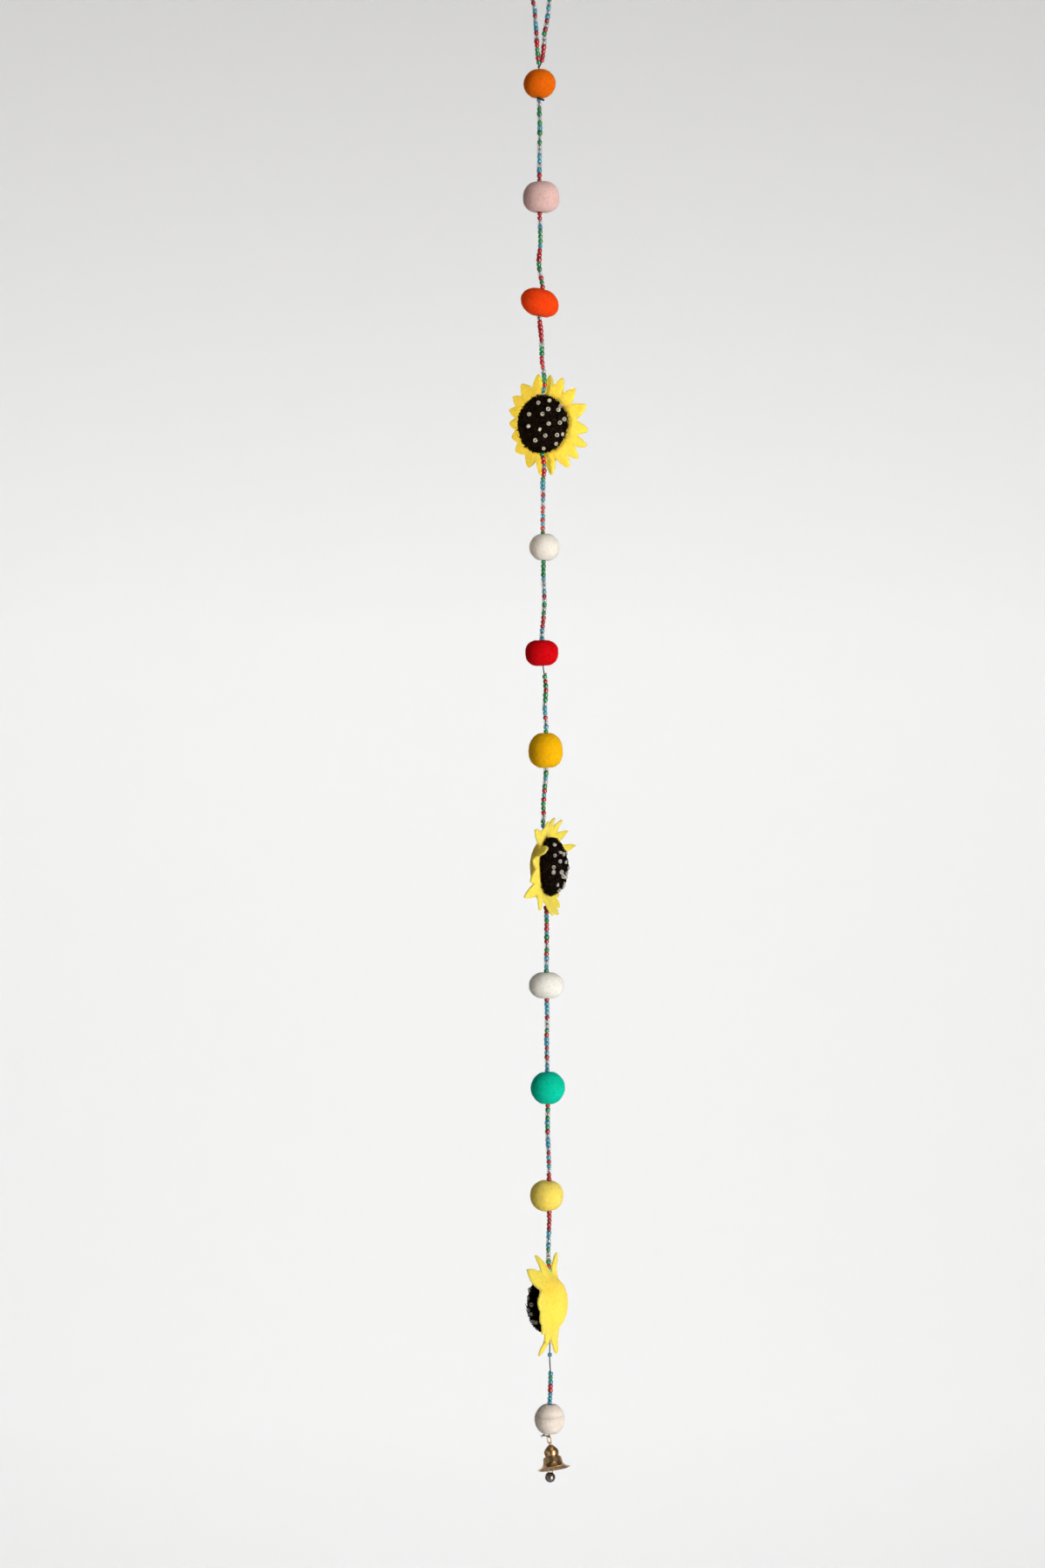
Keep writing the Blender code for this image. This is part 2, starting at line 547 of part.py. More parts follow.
# Beads of the hanging loop and of each run
glass = material("glass_beads", (0.45, 0.05, 0.06), 0.15)
left_beads = at_distance(left_line, np.linspace(LEFT_BARE, along(left_line)[-1], 30))
right_beads = at_distance(right_line, np.linspace(0.0, along(right_line)[-1] - RIGHT_BARE, 30))
top_arc = arc(loop_centre, LOOP_R, 180, 0, 40)
top_start = np.linspace(left_line[-1], top_arc[0], 4)
top_end = np.linspace(top_arc[-1], right_line[0], 4)
top_beads = np.vstack([top_start[:-1], top_arc, top_end[1:]])
top_length = along(top_beads)[-1]
top_beads = at_distance(top_beads, np.linspace(GAP, top_length - GAP, 60))
for name, line, bore_step in (("beads_loop_left", left_beads, 2), ("beads_loop_top", top_beads, 1),
                              ("beads_loop_right", right_beads, 2)):
    count = int(round(along(line)[-1] / BEAD_PITCH))
    add_piece(name, *bead_stack(line, count, bore_step), glass)

# Felt balls
ball_ends = {}
for name, colour, x, z, width, height, turn, square, taper, seed in BALLS:
    (points, faces), top, low = felt_ball(x, z, width, height, turn, square, taper, seed)
    add_piece(name, points, faces, material(name, colour, 0.95))
    ball_ends[name] = (top - DIMPLE, low + DIMPLE)

bead_ends = []
for name, above, below, count in BEAD_RUNS:
    high = ball_ends[above][1] - GAP if above in ball_ends else above
    low = ball_ends[below][0] + GAP if below in ball_ends else below
    bead_ends.append((high, low))
    add_piece(name, *bead_stack(string_between(high, low), count), glass)

# Sunflowers
yellow = material("yellow_felt", (0.93, 0.74, 0.06), 0.95)
black = material("black_felt", (0.010, 0.008, 0.007), 0.95)
for flower in SUNFLOWERS:
    petals = add_piece(flower["name"] + "_petals", *yellow_felt(flower), yellow)
    centre = add_piece(flower["name"] + "_centre", *black_centre(flower), black)
    z = flower["centre"][1]
    above = min(low for _, low in bead_ends if low > z)
    below = max(high for high, _ in bead_ends if high < z)
    groove_end = above - GAP
    groove_start = below + GAP
    way = np.vstack([string_between(z + CHANNEL_REACH, groove_end, CHANNEL_STEP),
                     string_between(groove_end - GAP, groove_start + GAP, CHANNEL_STEP),
                     string_between(groove_start, z - CHANNEL_REACH, CHANNEL_STEP)])
    widths = np.where((way[:, 2] >= groove_end) | (way[:, 2] <= groove_start), GROOVE_R, CHANNEL_R)
    channel = add_cutter(flower["name"] + "_channel", *tube(way, widths, 8))
    combine(petals, channel, "DIFFERENCE")
    combine(centre, channel, "DIFFERENCE")

# Bell
brass = material("brass", (0.60, 0.40, 0.14), 0.3, 1.0)
link_down, link_across, _ = hanging_axes(LINK_LEAN)
link_line = long_link(LINK_TOP, link_down, link_across, LINK_REACH, LINK_BEND_R)
add_piece("bell_link", *ring_tube(link_line, WIRE_R, 6), brass)
bell_down, bell_across, bell_back = hanging_axes(BELL_TILT, BELL_NOD)
hang_point = np.array(LINK_TOP) + LINK_REACH * link_down + LINK_BEND_R * hanging_axes(BELL_TILT)[0]
inner = [(depth + BELL_WALL * (1.2 if radius < 4 else 0.25), radius - BELL_WALL)
         for depth, radius in BELL_OUTLINE[1:-1]]
inner.append((BELL_OUTLINE[-1][0] + 0.15, BELL_OUTLINE[-1][1] - 0.5))
outer_rings = turned(BELL_OUTLINE, hang_point, bell_down, bell_across, bell_back, BELL_SEGMENTS)
inner_rings = turned(inner[::-1], hang_point, bell_down, bell_across, bell_back, BELL_SEGMENTS)
rings = np.concatenate([outer_rings, inner_rings])
points = rings.reshape(-1, 3)
faces = [tuple(range(BELL_SEGMENTS)), tuple(range(len(points) - BELL_SEGMENTS, len(points)))]
for k in range(len(rings) - 1):
    faces += strip(k * BELL_SEGMENTS, (k + 1) * BELL_SEGMENTS, BELL_SEGMENTS)
bell = add_piece("bell", points, faces, brass)
eye_line = arc(hang_point, EYE_R, 0, 330, 11, across=-bell_down, up=bell_back)
combine(bell, add_cutter("bell_eye", *ring_tube(eye_line, EYE_WIRE_R, 6)), "UNION")
pin_middle = hang_point + PIN_DEPTH * bell_down
pin_line = np.array([pin_middle - PIN_HALF * bell_back, pin_middle, pin_middle + PIN_HALF * bell_back])
combine(bell, add_cutter("bell_pin", *tube(pin_line, np.full(3, PIN_R), 8)), "UNION")

# Clapper
steel = material("steel", (0.16, 0.15, 0.15), 0.35, 1.0)
clapper_down = cos(CLAPPER_SWING) * bell_down - sin(CLAPPER_SWING) * bell_across
clapper_across = cos(CLAPPER_SWING) * bell_across + sin(CLAPPER_SWING) * bell_down
clapper_top = pin_middle + (CLAPPER_BEND_R - CLAPPER_HANG) * clapper_down
clapper_line = long_link(clapper_top, clapper_down, clapper_across, CLAPPER_DROP - BOB_HALF, CLAPPER_BEND_R)
clapper = add_piece("clapper", *ring_tube(clapper_line, CLAPPER_WIRE_R, 6), steel)
bob_middle = pin_middle + CLAPPER_DROP * clapper_down
combine(clapper, add_cutter("clapper_bob", *lump(bob_middle, (BOB_R, BOB_R, BOB_HALF), 14, 9)), "UNION")
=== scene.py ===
import bpy
import numpy as np
from math import pi, sin, cos, radians, sqrt, atan2
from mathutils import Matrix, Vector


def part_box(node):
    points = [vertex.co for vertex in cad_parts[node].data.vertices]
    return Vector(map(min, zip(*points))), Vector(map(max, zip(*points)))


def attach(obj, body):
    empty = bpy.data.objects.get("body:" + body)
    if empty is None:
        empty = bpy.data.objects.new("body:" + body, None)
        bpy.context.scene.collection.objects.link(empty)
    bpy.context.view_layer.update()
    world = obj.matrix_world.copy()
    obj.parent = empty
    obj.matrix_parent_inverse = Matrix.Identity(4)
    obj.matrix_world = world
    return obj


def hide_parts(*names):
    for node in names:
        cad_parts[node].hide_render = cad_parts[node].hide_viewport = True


# Felt ball garland: felt balls, felt sunflowers, seed beads and a small bell on one thread.
# Tables are in millimetres from the inside top of the hanging loop; meshes are made in metres.
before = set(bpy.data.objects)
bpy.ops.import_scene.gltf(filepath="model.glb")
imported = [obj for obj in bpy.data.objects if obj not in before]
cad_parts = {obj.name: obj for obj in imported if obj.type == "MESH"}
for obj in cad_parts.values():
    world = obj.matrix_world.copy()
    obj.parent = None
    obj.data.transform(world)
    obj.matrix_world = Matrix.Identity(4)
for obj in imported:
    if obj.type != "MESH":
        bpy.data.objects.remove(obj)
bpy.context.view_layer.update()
mm = 0.001
print("frame loaded:", len(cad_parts), "nodes")


# Camera and light

view = {"lens": 100.0, "longSide": 36.0, "place": (-0.01247, -2.90, -0.54404)}
lamps = [
    # name, place, aim, width, height, watts, colour, spread of its beam in degrees
    ("keyRight", (2.1, -2.5, -0.9), (0.0, 0.0, -0.52), 1.1, 2.8, 141.0, (1.0, 0.99, 0.975), 180),
    ("fillLeft", (-2.9, -2.6, -1.3), (0.0, 0.0, -0.52), 2.2, 2.6, 11.0, (1.0, 0.92, 0.82), 180),
    ("topSoft", (0.3, -0.7, 0.9), (0.0, 0.0, -1.0), 0.8, 0.8, 4.0, (1.0, 1.0, 1.0), 180),
    ("wallGlow", (0.0, 2.6, -0.95), (0.0, 7.0, -0.95), 2.4, 2.0, 128.0, (1.0, 1.0, 1.0), 180),
    ("flowerSnoot", (-1.0, -1.1, -0.26), (-0.004, 0.0, -0.303), 0.06, 0.06, 0.034, (1.0, 0.80, 0.55), 7),
]
room = {"floor": -2.4, "radius": 7.0, "bend": 2.2, "top": 3.6, "greyFrom": 1.4, "sky": 0.05}


def aimAt(thing, place, target):
    # turns a camera or lamp, which look along their own -Z, from a place to a target
    x, y, z = np.subtract(target, place)
    thing.location = place
    thing.rotation_euler = (atan2(sqrt(x * x + y * y), -z), 0.0, atan2(y, x) - pi / 2)


def setAll(thing, **values):
    for key, value in values.items():
        setattr(thing, key, value)


camera = bpy.data.objects.new("camera", bpy.data.cameras.new("camera"))
bpy.context.scene.collection.objects.link(camera)
setAll(camera.data, lens=view["lens"], sensor_width=view["longSide"], sensor_fit="AUTO", clip_start=0.05,
       clip_end=60.0)
aimAt(camera, view["place"], (view["place"][0], 0.0, view["place"][2]))
bpy.context.scene.camera = camera

for name, place, aim, width, height, watts, colour, spread in lamps:
    lamp = bpy.data.objects.new(name, bpy.data.lights.new(name, "AREA"))
    setAll(lamp.data, shape="RECTANGLE", size=width, size_y=height, energy=watts, color=colour,
           spread=radians(spread))
    lamp.visible_camera = False
    aimAt(lamp, place, aim)
    bpy.context.scene.collection.objects.link(lamp)

world = bpy.data.worlds.new("studio")
bpy.context.scene.world = world
world.use_nodes = True
world.node_tree.nodes["Background"].inputs["Color"].default_value = (1.0, 1.0, 1.0, 1.0)
world.node_tree.nodes["Background"].inputs["Strength"].default_value = room["sky"]
bpy.context.scene.view_settings.view_transform = "Standard"


# Shader wiring

class Wire:
    # one socket of a material; + and * on it add Math nodes, node() adds any other kind
    def __init__(self, tree, socket=None):
        self.tree = tree
        self.socket = socket

    def node(self, kind, settings=None, values=None, output=0):
        made = self.tree.nodes.new(kind)
        for key, value in (settings or {}).items():
            if key == "stops":
                elements = made.color_ramp.elements
                while len(elements) < len(value):
                    elements.new(0.5)
                for element, (place, colour) in zip(elements, value):
                    element.position = place
                    element.color = (*colour, 1.0)
            else:
                setattr(made, key, value)
        for key, value in (values or {}).items():
            if isinstance(value, Wire):
                self.tree.links.new(value.socket, made.inputs[key])
            else:
                made.inputs[key].default_value = value
        return Wire(self.tree, made.outputs[output])

    def maths(self, operation, first, second):
        return self.node("ShaderNodeMath", {"operation": operation}, {0: first, 1: second})

    def __add__(self, other):
        return self.maths("ADD", self, other)

    def __mul__(self, other):
        return self.maths("MULTIPLY", self, other)

    __radd__ = __add__
    __rmul__ = __mul__

    def noise(self, scale, detail=2.0, rough=0.55, warp=0.0):
        return self.node("ShaderNodeTexNoise", {}, {"Vector": self, "Scale": scale, "Detail": detail,
                                                    "Roughness": rough, "Distortion": warp})

    def stretched(self, scale, turn=(0.0, 0.0, 0.0)):
        return self.node("ShaderNodeMapping", {}, {"Vector": self, "Scale": scale, "Rotation": turn})

    def between(self, low, high):
        return self.node("ShaderNodeMapRange", {}, {"Value": self, "From Min": low, "From Max": high})

    def ramp(self, *stops):
        # colours along a value from 0 to 1, as (place, colour)
        return self.node("ShaderNodeValToRGB", {"stops": stops}, {"Fac": self})

    def bumped(self, distance, strength, **under):
        return self.node("ShaderNodeBump", {}, {"Height": self, "Distance": distance,
                                                "Strength": strength, **under})


def linear(red, green, blue):
    # a screen colour from 0 to 255 as light amounts
    share = np.array([red, green, blue]) / 255.0
    light = np.where(share <= 0.04045, share / 12.92, ((share + 0.055) / 1.055) ** 2.4)
    return tuple(float(v) for v in light)


def startFinish(name, **sockets):
    # a new material: its shader's steady values, and a wire that carries the place on the object
    made = bpy.data.materials.new(name)
    made.use_nodes = True
    shader = made.node_tree.nodes["Principled BSDF"]
    for key, value in sockets.items():
        socket = shader.inputs[key.replace("_", " ")]
        if isinstance(value, tuple):
            value = (*value, 1.0)[:len(socket.default_value)]
        socket.default_value = value
    return made, Wire(made.node_tree).node("ShaderNodeTexCoord", output=3)


def feed(made, **sockets):
    # joins what changes over the surface to the material's shader
    shader = made.node_tree.nodes["Principled BSDF"]
    for key, wire in sockets.items():
        made.node_tree.links.new(wire.socket, shader.inputs[key.replace("_", " ")])
    return made


feltLook = {"roughness": 0.97, "sheen": 0.05, "sheenRoughness": 0.6, "shine": 0.07, "clumpScale": 640.0,
            "crumbScale": 2300.0, "strandScale": 820.0, "strandGrow": 0.23,
            "strandTurns": [(0.4, 0.2, 0.7), (1.3, 0.9, -0.5), (-0.6, 1.1, 2.0)],
            "clumps": 0.5875, "crumb": 0.30, "strands": 0.1125, "streakScale": 330.0,
            "bump": 0.00026, "strandBump": 0.00008, "leastSoak": 0.04}


def feltFinish(name, middle, wrap=0.0, glow=0.5, soak=0.005, soakColours=None):
    # matted wool: soft clumps, fine crumb and stretched strands laid over each other in three directions;
    # wrap adds broad streaks of the fleece that is wound around a ball; light soaks into the felt, and
    # each of its colours goes as far as the felt is bright in it, where soakColours says nothing else
    look = feltLook
    # deep is the felt's darker tone and also painted shade for the hollows; pale is its lighter tone and also
    # painted light on the raised clumps
    deep = tuple(0.80 * c ** 1.12 for c in middle)
    pale = tuple(min(1.0, c * 1.07 + 0.010) for c in middle)
    if soakColours is None:
        soakColours = tuple(max(look["leastSoak"], c / max(middle)) for c in middle)
    made, place = startFinish(name, Roughness=look["roughness"], Specular_IOR_Level=look["shine"],
                              Sheen_Weight=look["sheen"], Sheen_Roughness=look["sheenRoughness"],
                              Sheen_Tint=pale, Subsurface_Weight=glow, Subsurface_Scale=soak,
                              Subsurface_Radius=soakColours)
    clumps = place.noise(look["clumpScale"], 4.0, 0.62, 0.4)
    crumb = place.noise(look["crumbScale"], 2.0, 0.6)
    strands = None
    for number, turn in enumerate(look["strandTurns"]):
        scale = look["strandScale"] * (1.0 + look["strandGrow"] * number)
        one = place.stretched((1.0, 1.0, 0.12), turn).noise(scale, 3.0, 0.6, 0.7)
        strands = one if strands is None else strands.maths("MAXIMUM", strands, one)
    # the clumps and crumb that colour the felt also raise its bump, so the felt is lighter on the raised
    # clumps and deeper in their hollows: partly the felt's own mottled tone, partly painted highlight and
    # painted shade
    shade = clumps * look["clumps"] + crumb * look["crumb"] + strands * look["strands"]
    if wrap:
        wound = place.stretched((0.16, 0.3, 1.0), (0.35, -0.45, 0.2))
        shade = shade * (1.0 - wrap) + wound.noise(look["streakScale"], 3.0, 0.55, 0.5) * wrap
    soft = (clumps + crumb * 0.6).bumped(look["bump"], 0.8)
    return feed(made, Base_Color=shade.ramp((0.34, deep), (0.52, middle), (0.72, pale)),
                Normal=strands.bumped(look["strandBump"], 0.9, Normal=soft))


# deep is painted shade for the hollows, middle the wool's own brown-black, pale the brown painted highlight
# on the loops
boucleLook = {"deep": (0.0012, 0.0009, 0.0008), "middle": (0.0058, 0.0036, 0.0024),
              "pale": (0.036, 0.021, 0.013), "roughness": 0.9, "shine": 0.02, "clumpScale": 620.0,
              "crumbScale": 2100.0, "bump": 0.0004}


def boucleFinish(name):
    # black looped wool; one noise raises the loops and colours them: pale brown painted highlights on the
    # raised loops, the deepest black painted shade in the hollows
    look = boucleLook
    made, place = startFinish(name, Roughness=look["roughness"], Specular_IOR_Level=look["shine"])
    shade = (place.noise(look["clumpScale"], 3.0, 0.6, 0.3) * 0.6
             + place.noise(look["crumbScale"], 2.0, 0.6) * 0.4)
    colour = shade.ramp((0.38, look["deep"]), (0.52, look["middle"]), (0.70, look["pale"]))
    return feed(made, Base_Color=colour, Normal=shade.bumped(look["bump"], 0.8))


def glassFinish(name, colour, deep, through, rough=0.06):
    # a glass bead: clearer and darker streaks run through it, the surface is glossy
    made, place = startFinish(name, Roughness=rough, Transmission_Weight=through, IOR=1.5,
                              Specular_IOR_Level=0.6, Coat_Weight=0.6, Coat_Roughness=0.03)
    streaks = place.stretched((1.0, 1.0, 0.5)).noise(560.0, 2.0, 0.5, 0.5)
    return feed(made, Base_Color=streaks.ramp((0.38, deep), (0.60, colour)))


def threadFinish(name):
    # dark waxed thread with a dusty grain
    made, place = startFinish(name, Roughness=0.62, Specular_IOR_Level=0.3, Sheen_Weight=0.1)
    grain = place.noise(2600.0, 2.0, 0.6)
    return feed(made, Base_Color=grain.ramp((0.35, (0.005, 0.0045, 0.005)), (0.7, (0.028, 0.026, 0.028))),
                Normal=grain.bumped(0.00008, 0.6))


def metalFinish(name, bright, dull, roughLow, roughHigh, grooves):
    # worn metal: cloudy tarnish dulls it, and turning marks run around its axis
    made, place = startFinish(name, Metallic=1.0)
    specks = place.noise(900.0, 3.0, 0.7)
    tarnish = (place.noise(170.0, 4.0, 0.65, 0.6) * 0.7 + specks * 0.3).between(0.40, 0.62)
    lines = place.stretched((0.05, 0.05, 1.0)).noise(grooves, 2.0, 0.5)
    return feed(made, Base_Color=tarnish.ramp((0.0, bright), (1.0, dull)),
                Roughness=tarnish * (roughHigh - roughLow) + roughLow,
                Normal=(lines + specks * 0.4).bumped(0.00006, 0.35))


def backdropFinish(name):
    # pale paper, a little greyer at its foot and towards its top: painted shade standing in for the light
    # falling off there
    made, place = startFinish(name, Roughness=0.9, Specular_IOR_Level=0.1)
    height = place.node("ShaderNodeSeparateXYZ", {}, {"Vector": place}, output=2)
    share = height.between(room["floor"], room["greyFrom"])
    # the greyer stops at both ends of the ramp are painted shade
    return feed(made, Base_Color=share.ramp((0.0, (0.78, 0.78, 0.78)), (0.14, (0.86, 0.86, 0.86)),
                                            (0.5, (0.86, 0.86, 0.86)), (1.0, (0.82, 0.815, 0.815))))


# Mesh work

def allRound(count):
    # so many equal turns that make one round
    return np.arange(count) * 2 * pi / count


def gridQuads(rows, columns, closeRows=False):
    # quads between neighbouring rows and columns of a grid of points that closes around its columns
    row = np.arange(rows if closeRows else rows - 1)[:, None]
    column = np.arange(columns)[None, :]
    nextRow = (row + 1) % rows
    nextColumn = (column + 1) % columns
    corners = (row * columns + column, row * columns + nextColumn,
               nextRow * columns + nextColumn, nextRow * columns + column)
    return np.stack(np.broadcast_arrays(*corners), axis=-1).reshape(-1, 4)


def outwards(points, faceSets):
    # the signed volume, a sum of corner triple products, is negative when the faces point in; then they turn
    volume = 0.0
    for faces in faceSets:
        corners = points[faces]
        for k in range(1, faces.shape[1] - 1):
            volume += np.einsum("ij,ij->i", corners[:, 0], np.cross(corners[:, k], corners[:, k + 1])).sum()
    return [faces[:, ::-1] for faces in faceSets] if volume < 0 else faceSets


def closedShell(rings, startPoint=None, endPoint=None):
    # rings of points joined in order, with a fan to one point at each end, at first the ring's own middle
    count = rings.shape[1]
    startPoint = rings[0].mean(axis=0) if startPoint is None else startPoint
    endPoint = rings[-1].mean(axis=0) if endPoint is None else endPoint
    points = np.vstack([rings.reshape(-1, 3), startPoint, endPoint])
    start = len(points) - 2
    last = (len(rings) - 1) * count
    here = np.arange(count)
    after = (here + 1) % count
    fans = np.vstack([np.stack([np.full(count, start), after, here], axis=1),
                      np.stack([np.full(count, start + 1), last + here, last + after], axis=1)])
    return points, outwards(points, [gridQuads(len(rings), count), fans])


def repeated(points, faceSets, count):
    # the face numbers of many equal shapes that follow each other in one list of points
    shift = (np.arange(count) * points)[:, None, None]
    return [(faces[None] + shift).reshape(-1, faces.shape[1]) for faces in faceSets]


def makePiece(name, shells, finishes, replaced=(), body="garland"):
    # shells: points in millimetres, face sets and, with several finishes, each face's finish number
    points, loops, sizes, marks = [], [], [], []
    before = 0
    for shellPoints, faceSets, *numbers in shells:
        points.append(shellPoints)
        for number, faces in enumerate(faceSets):
            loops.append((faces + before).ravel())
            sizes.append(np.full(len(faces), faces.shape[1]))
            marks.append(numbers[0][number] if numbers else np.zeros(len(faces)))
        before += len(shellPoints)
    points, loops = np.vstack(points) * mm, np.concatenate(loops)
    sizes, marks = np.concatenate(sizes), np.concatenate(marks)
    mesh = bpy.data.meshes.new(name)
    mesh.vertices.add(len(points))
    mesh.vertices.foreach_set("co", points.astype(np.float32).ravel())
    mesh.loops.add(len(loops))
    mesh.loops.foreach_set("vertex_index", loops.astype(np.int32))
    mesh.polygons.add(len(sizes))
    mesh.polygons.foreach_set("loop_start", np.concatenate([[0], np.cumsum(sizes)[:-1]]).astype(np.int32))
    for finish in finishes:
        mesh.materials.append(finish)
    mesh.polygons.foreach_set("material_index", marks.astype(np.int32))
    mesh.update(calc_edges=True)
    mesh.shade_smooth()
    piece = bpy.data.objects.new(name, mesh)
    bpy.context.scene.collection.objects.link(piece)
    if body is None:
        return piece
    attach(piece, body)
    if replaced:
        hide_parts(*replaced)
    return piece


def unit(vectors):
    return vectors / np.linalg.norm(vectors, axis=-1, keepdims=True)


def lumpy(points, size, seed, waves):
    # a sum of plane waves near one size in random directions, about -1 to 1
    draw = np.random.default_rng(seed)
    ways = unit(draw.normal(size=(waves, 3))) * (2 * pi / (size * draw.uniform(0.7, 1.5, waves)))[:, None]
    return np.sin(points @ ways.T + draw.uniform(0, 2 * pi, waves)).sum(axis=-1) * sqrt(2 / waves) * 0.6


def smoothLine(route, step):
    # a cubic through the route's points whose slope at each is half the way between its neighbours
    route = np.asarray(route, float)
    spread = np.vstack([2 * route[0] - route[1], route, 2 * route[-1] - route[-2]])
    line = [route[:1]]
    for a, b, c, d in zip(spread[:-3], spread[1:-2], spread[2:-1], spread[3:]):
        count = max(1, int(round(np.linalg.norm(c - b) / step)))
        t = (np.arange(1, count + 1) / count)[:, None]
        line.append((2 * t**3 - 3 * t**2 + 1) * b + (t**3 - 2 * t**2 + t) * (c - a) / 2
                    + (3 * t**2 - 2 * t**3) * c + (t**3 - t**2) * (d - b) / 2)
    return np.vstack(line)


def arc(centre, radius, first, last, steps, across=(1, 0, 0), up=(0, 0, 1)):
    angles = np.radians(np.linspace(first, last, steps + 1))[:, None]
    across, up = np.asarray(across), np.asarray(up)
    return np.asarray(centre) + radius * (np.cos(angles) * across + np.sin(angles) * up)


def travelled(line):
    # how far along the line each of its points is
    return np.concatenate([[0.0], np.cumsum(np.linalg.norm(np.diff(line, axis=0), axis=1))])


def atDistance(line, distances, given=None):
    # the line's place, or what is given for each of its points, at distances along it
    way, given = travelled(line), line if given is None else given
    return np.stack([np.interp(distances, way, given[:, k]) for k in range(3)], axis=1)


def carried(line, closed=False):
    # the line's direction and two directions square to it, carried along without twist
    if closed:
        ahead = unit(np.roll(line, -1, axis=0) - np.roll(line, 1, axis=0))
    else:
        ahead = unit(np.gradient(line, axis=0))
    side = np.array([0.0, 1.0, 0.0]) if abs(ahead[0][1]) < 0.8 else np.array([1.0, 0.0, 0.0])
    sides = []
    for direction in ahead:
        side = side - direction * np.dot(side, direction)
        side = side / np.linalg.norm(side)
        sides.append(side)
    sides = np.array(sides)
    return ahead, sides, np.cross(ahead, sides)


def tubeRings(line, radius, count, closed=False, plies=0, layLength=1.0, relief=0.0):
    # circles along the line; plies swell each circle in a few lobes, which move on by one over the lay length
    _, first, second = carried(line, closed)
    turn = allRound(count)[None, :]
    swell = 1 + relief * np.cos(plies * turn - 2 * pi * travelled(line)[:, None] / layLength)
    reach = np.broadcast_to(np.asarray(radius, float).reshape(-1, 1), (len(line), 1)) * swell
    return (line[:, None, :] + (reach * np.cos(turn))[..., None] * first[:, None, :]
            + (reach * np.sin(turn))[..., None] * second[:, None, :])


def tube(line, radius, count, **plies):
    return closedShell(tubeRings(line, radius, count, **plies), line[0], line[-1])


def ringTube(line, radius, count):
    # a tube along a closed line: the last ring joins the first
    points = tubeRings(line, radius, count, closed=True).reshape(-1, 3)
    return points, outwards(points, [gridQuads(len(line), count, closeRows=True)])


def surfaceFacts(rings):
    # normals and areas of a grid's points from the cross product of its two slopes
    along = np.gradient(rings, axis=0)
    around = (np.roll(rings, -1, axis=1) - np.roll(rings, 1, axis=1)) / 2
    cross = np.cross(around, along)
    area = np.linalg.norm(cross, axis=-1)
    normals = cross / np.maximum(area, 1e-9)[..., None]
    middle = rings.reshape(-1, 3).mean(axis=0)
    if ((rings - middle) * normals).sum() < 0:
        normals = -normals
    return normals, area


def roughened(rings, look, seed, nextSeed, still=slice(0, 0)):
    # the surface moved along its normals by soft clumps and a finer crumb; some rows can stay still
    bumps = (look["clump"] * lumpy(rings, look["clumpSize"], seed, look["bumpWaves"])
             + look["crumb"] * lumpy(rings, look["crumbSize"], nextSeed, look["bumpWaves"]))
    bumps[still] = 0.0
    return rings + surfaceFacts(rings)[0] * bumps[..., None]


fibreSpread = {"scatter": 0.12, "sunk": 0.12, "lengths": 0.38, "longest": 1.8, "lifts": 0.5, "highest": 2.4,
               "widths": (0.7, 1.3)}


def strayFibres(rings, look, seed, covered=slice(0, 0)):
    # thin three-sided spikes: each starts under the felt, leans over along it in a bow and ends in a point;
    # none on the rows that another piece covers
    draw = np.random.default_rng(seed)
    normals, area = surfaceFacts(rings)
    area[covered] = 0.0
    weight = area.ravel()
    count, steps = look["count"], look["steps"]
    picked = draw.choice(weight.size, count, p=weight / weight.sum())
    normal = normals.reshape(-1, 3)[picked]
    sideways = unit(np.cross(normal, draw.normal(size=(count, 3))))
    across = np.cross(normal, sideways)
    vary = fibreSpread
    root = (rings.reshape(-1, 3)[picked] + sideways * draw.normal(0, vary["scatter"], (count, 1))
            - normal * vary["sunk"])
    length = look["length"] * np.minimum(draw.lognormal(0, vary["lengths"], count), vary["longest"])
    bend = draw.normal(0, look["curl"], count)
    lift = look["lift"] * np.minimum(draw.lognormal(0, vary["lifts"], count), vary["highest"])
    share = np.linspace(0, 1, steps)[None, :]
    heading = bend[:, None] * share
    travel = length[:, None] / (steps - 1)
    x = np.cumsum(np.cos(heading) * travel, axis=1) - travel
    y = np.cumsum(np.sin(heading) * travel, axis=1)
    z = lift[:, None] * np.sin(share * pi * draw.uniform(*look["bow"], count)[:, None])
    line = (root[:, None] + x[..., None] * sideways[:, None] + y[..., None] * across[:, None]
            + z[..., None] * normal[:, None])
    ahead = unit(np.gradient(line, axis=1))
    first = unit(np.cross(ahead, normal[:, None] + 0.01))
    second = np.cross(ahead, first)
    turn = allRound(3)
    radius = look["width"] / 2 * (1 - look["taper"] * share) * draw.uniform(*vary["widths"], count)[:, None]
    ringsOut = (line[:, :, None] + radius[..., None, None] * (np.cos(turn)[:, None] * first[:, :, None]
                                                             + np.sin(turn)[:, None] * second[:, :, None]))
    one = steps * 3
    caps = np.array([[2, 1, 0], [one - 3, one - 2, one - 1]])
    points = ringsOut.reshape(-1, 3)
    faces = outwards(points, repeated(one, [gridQuads(steps, 3), caps], count))
    return points, faces


print("tools ready")


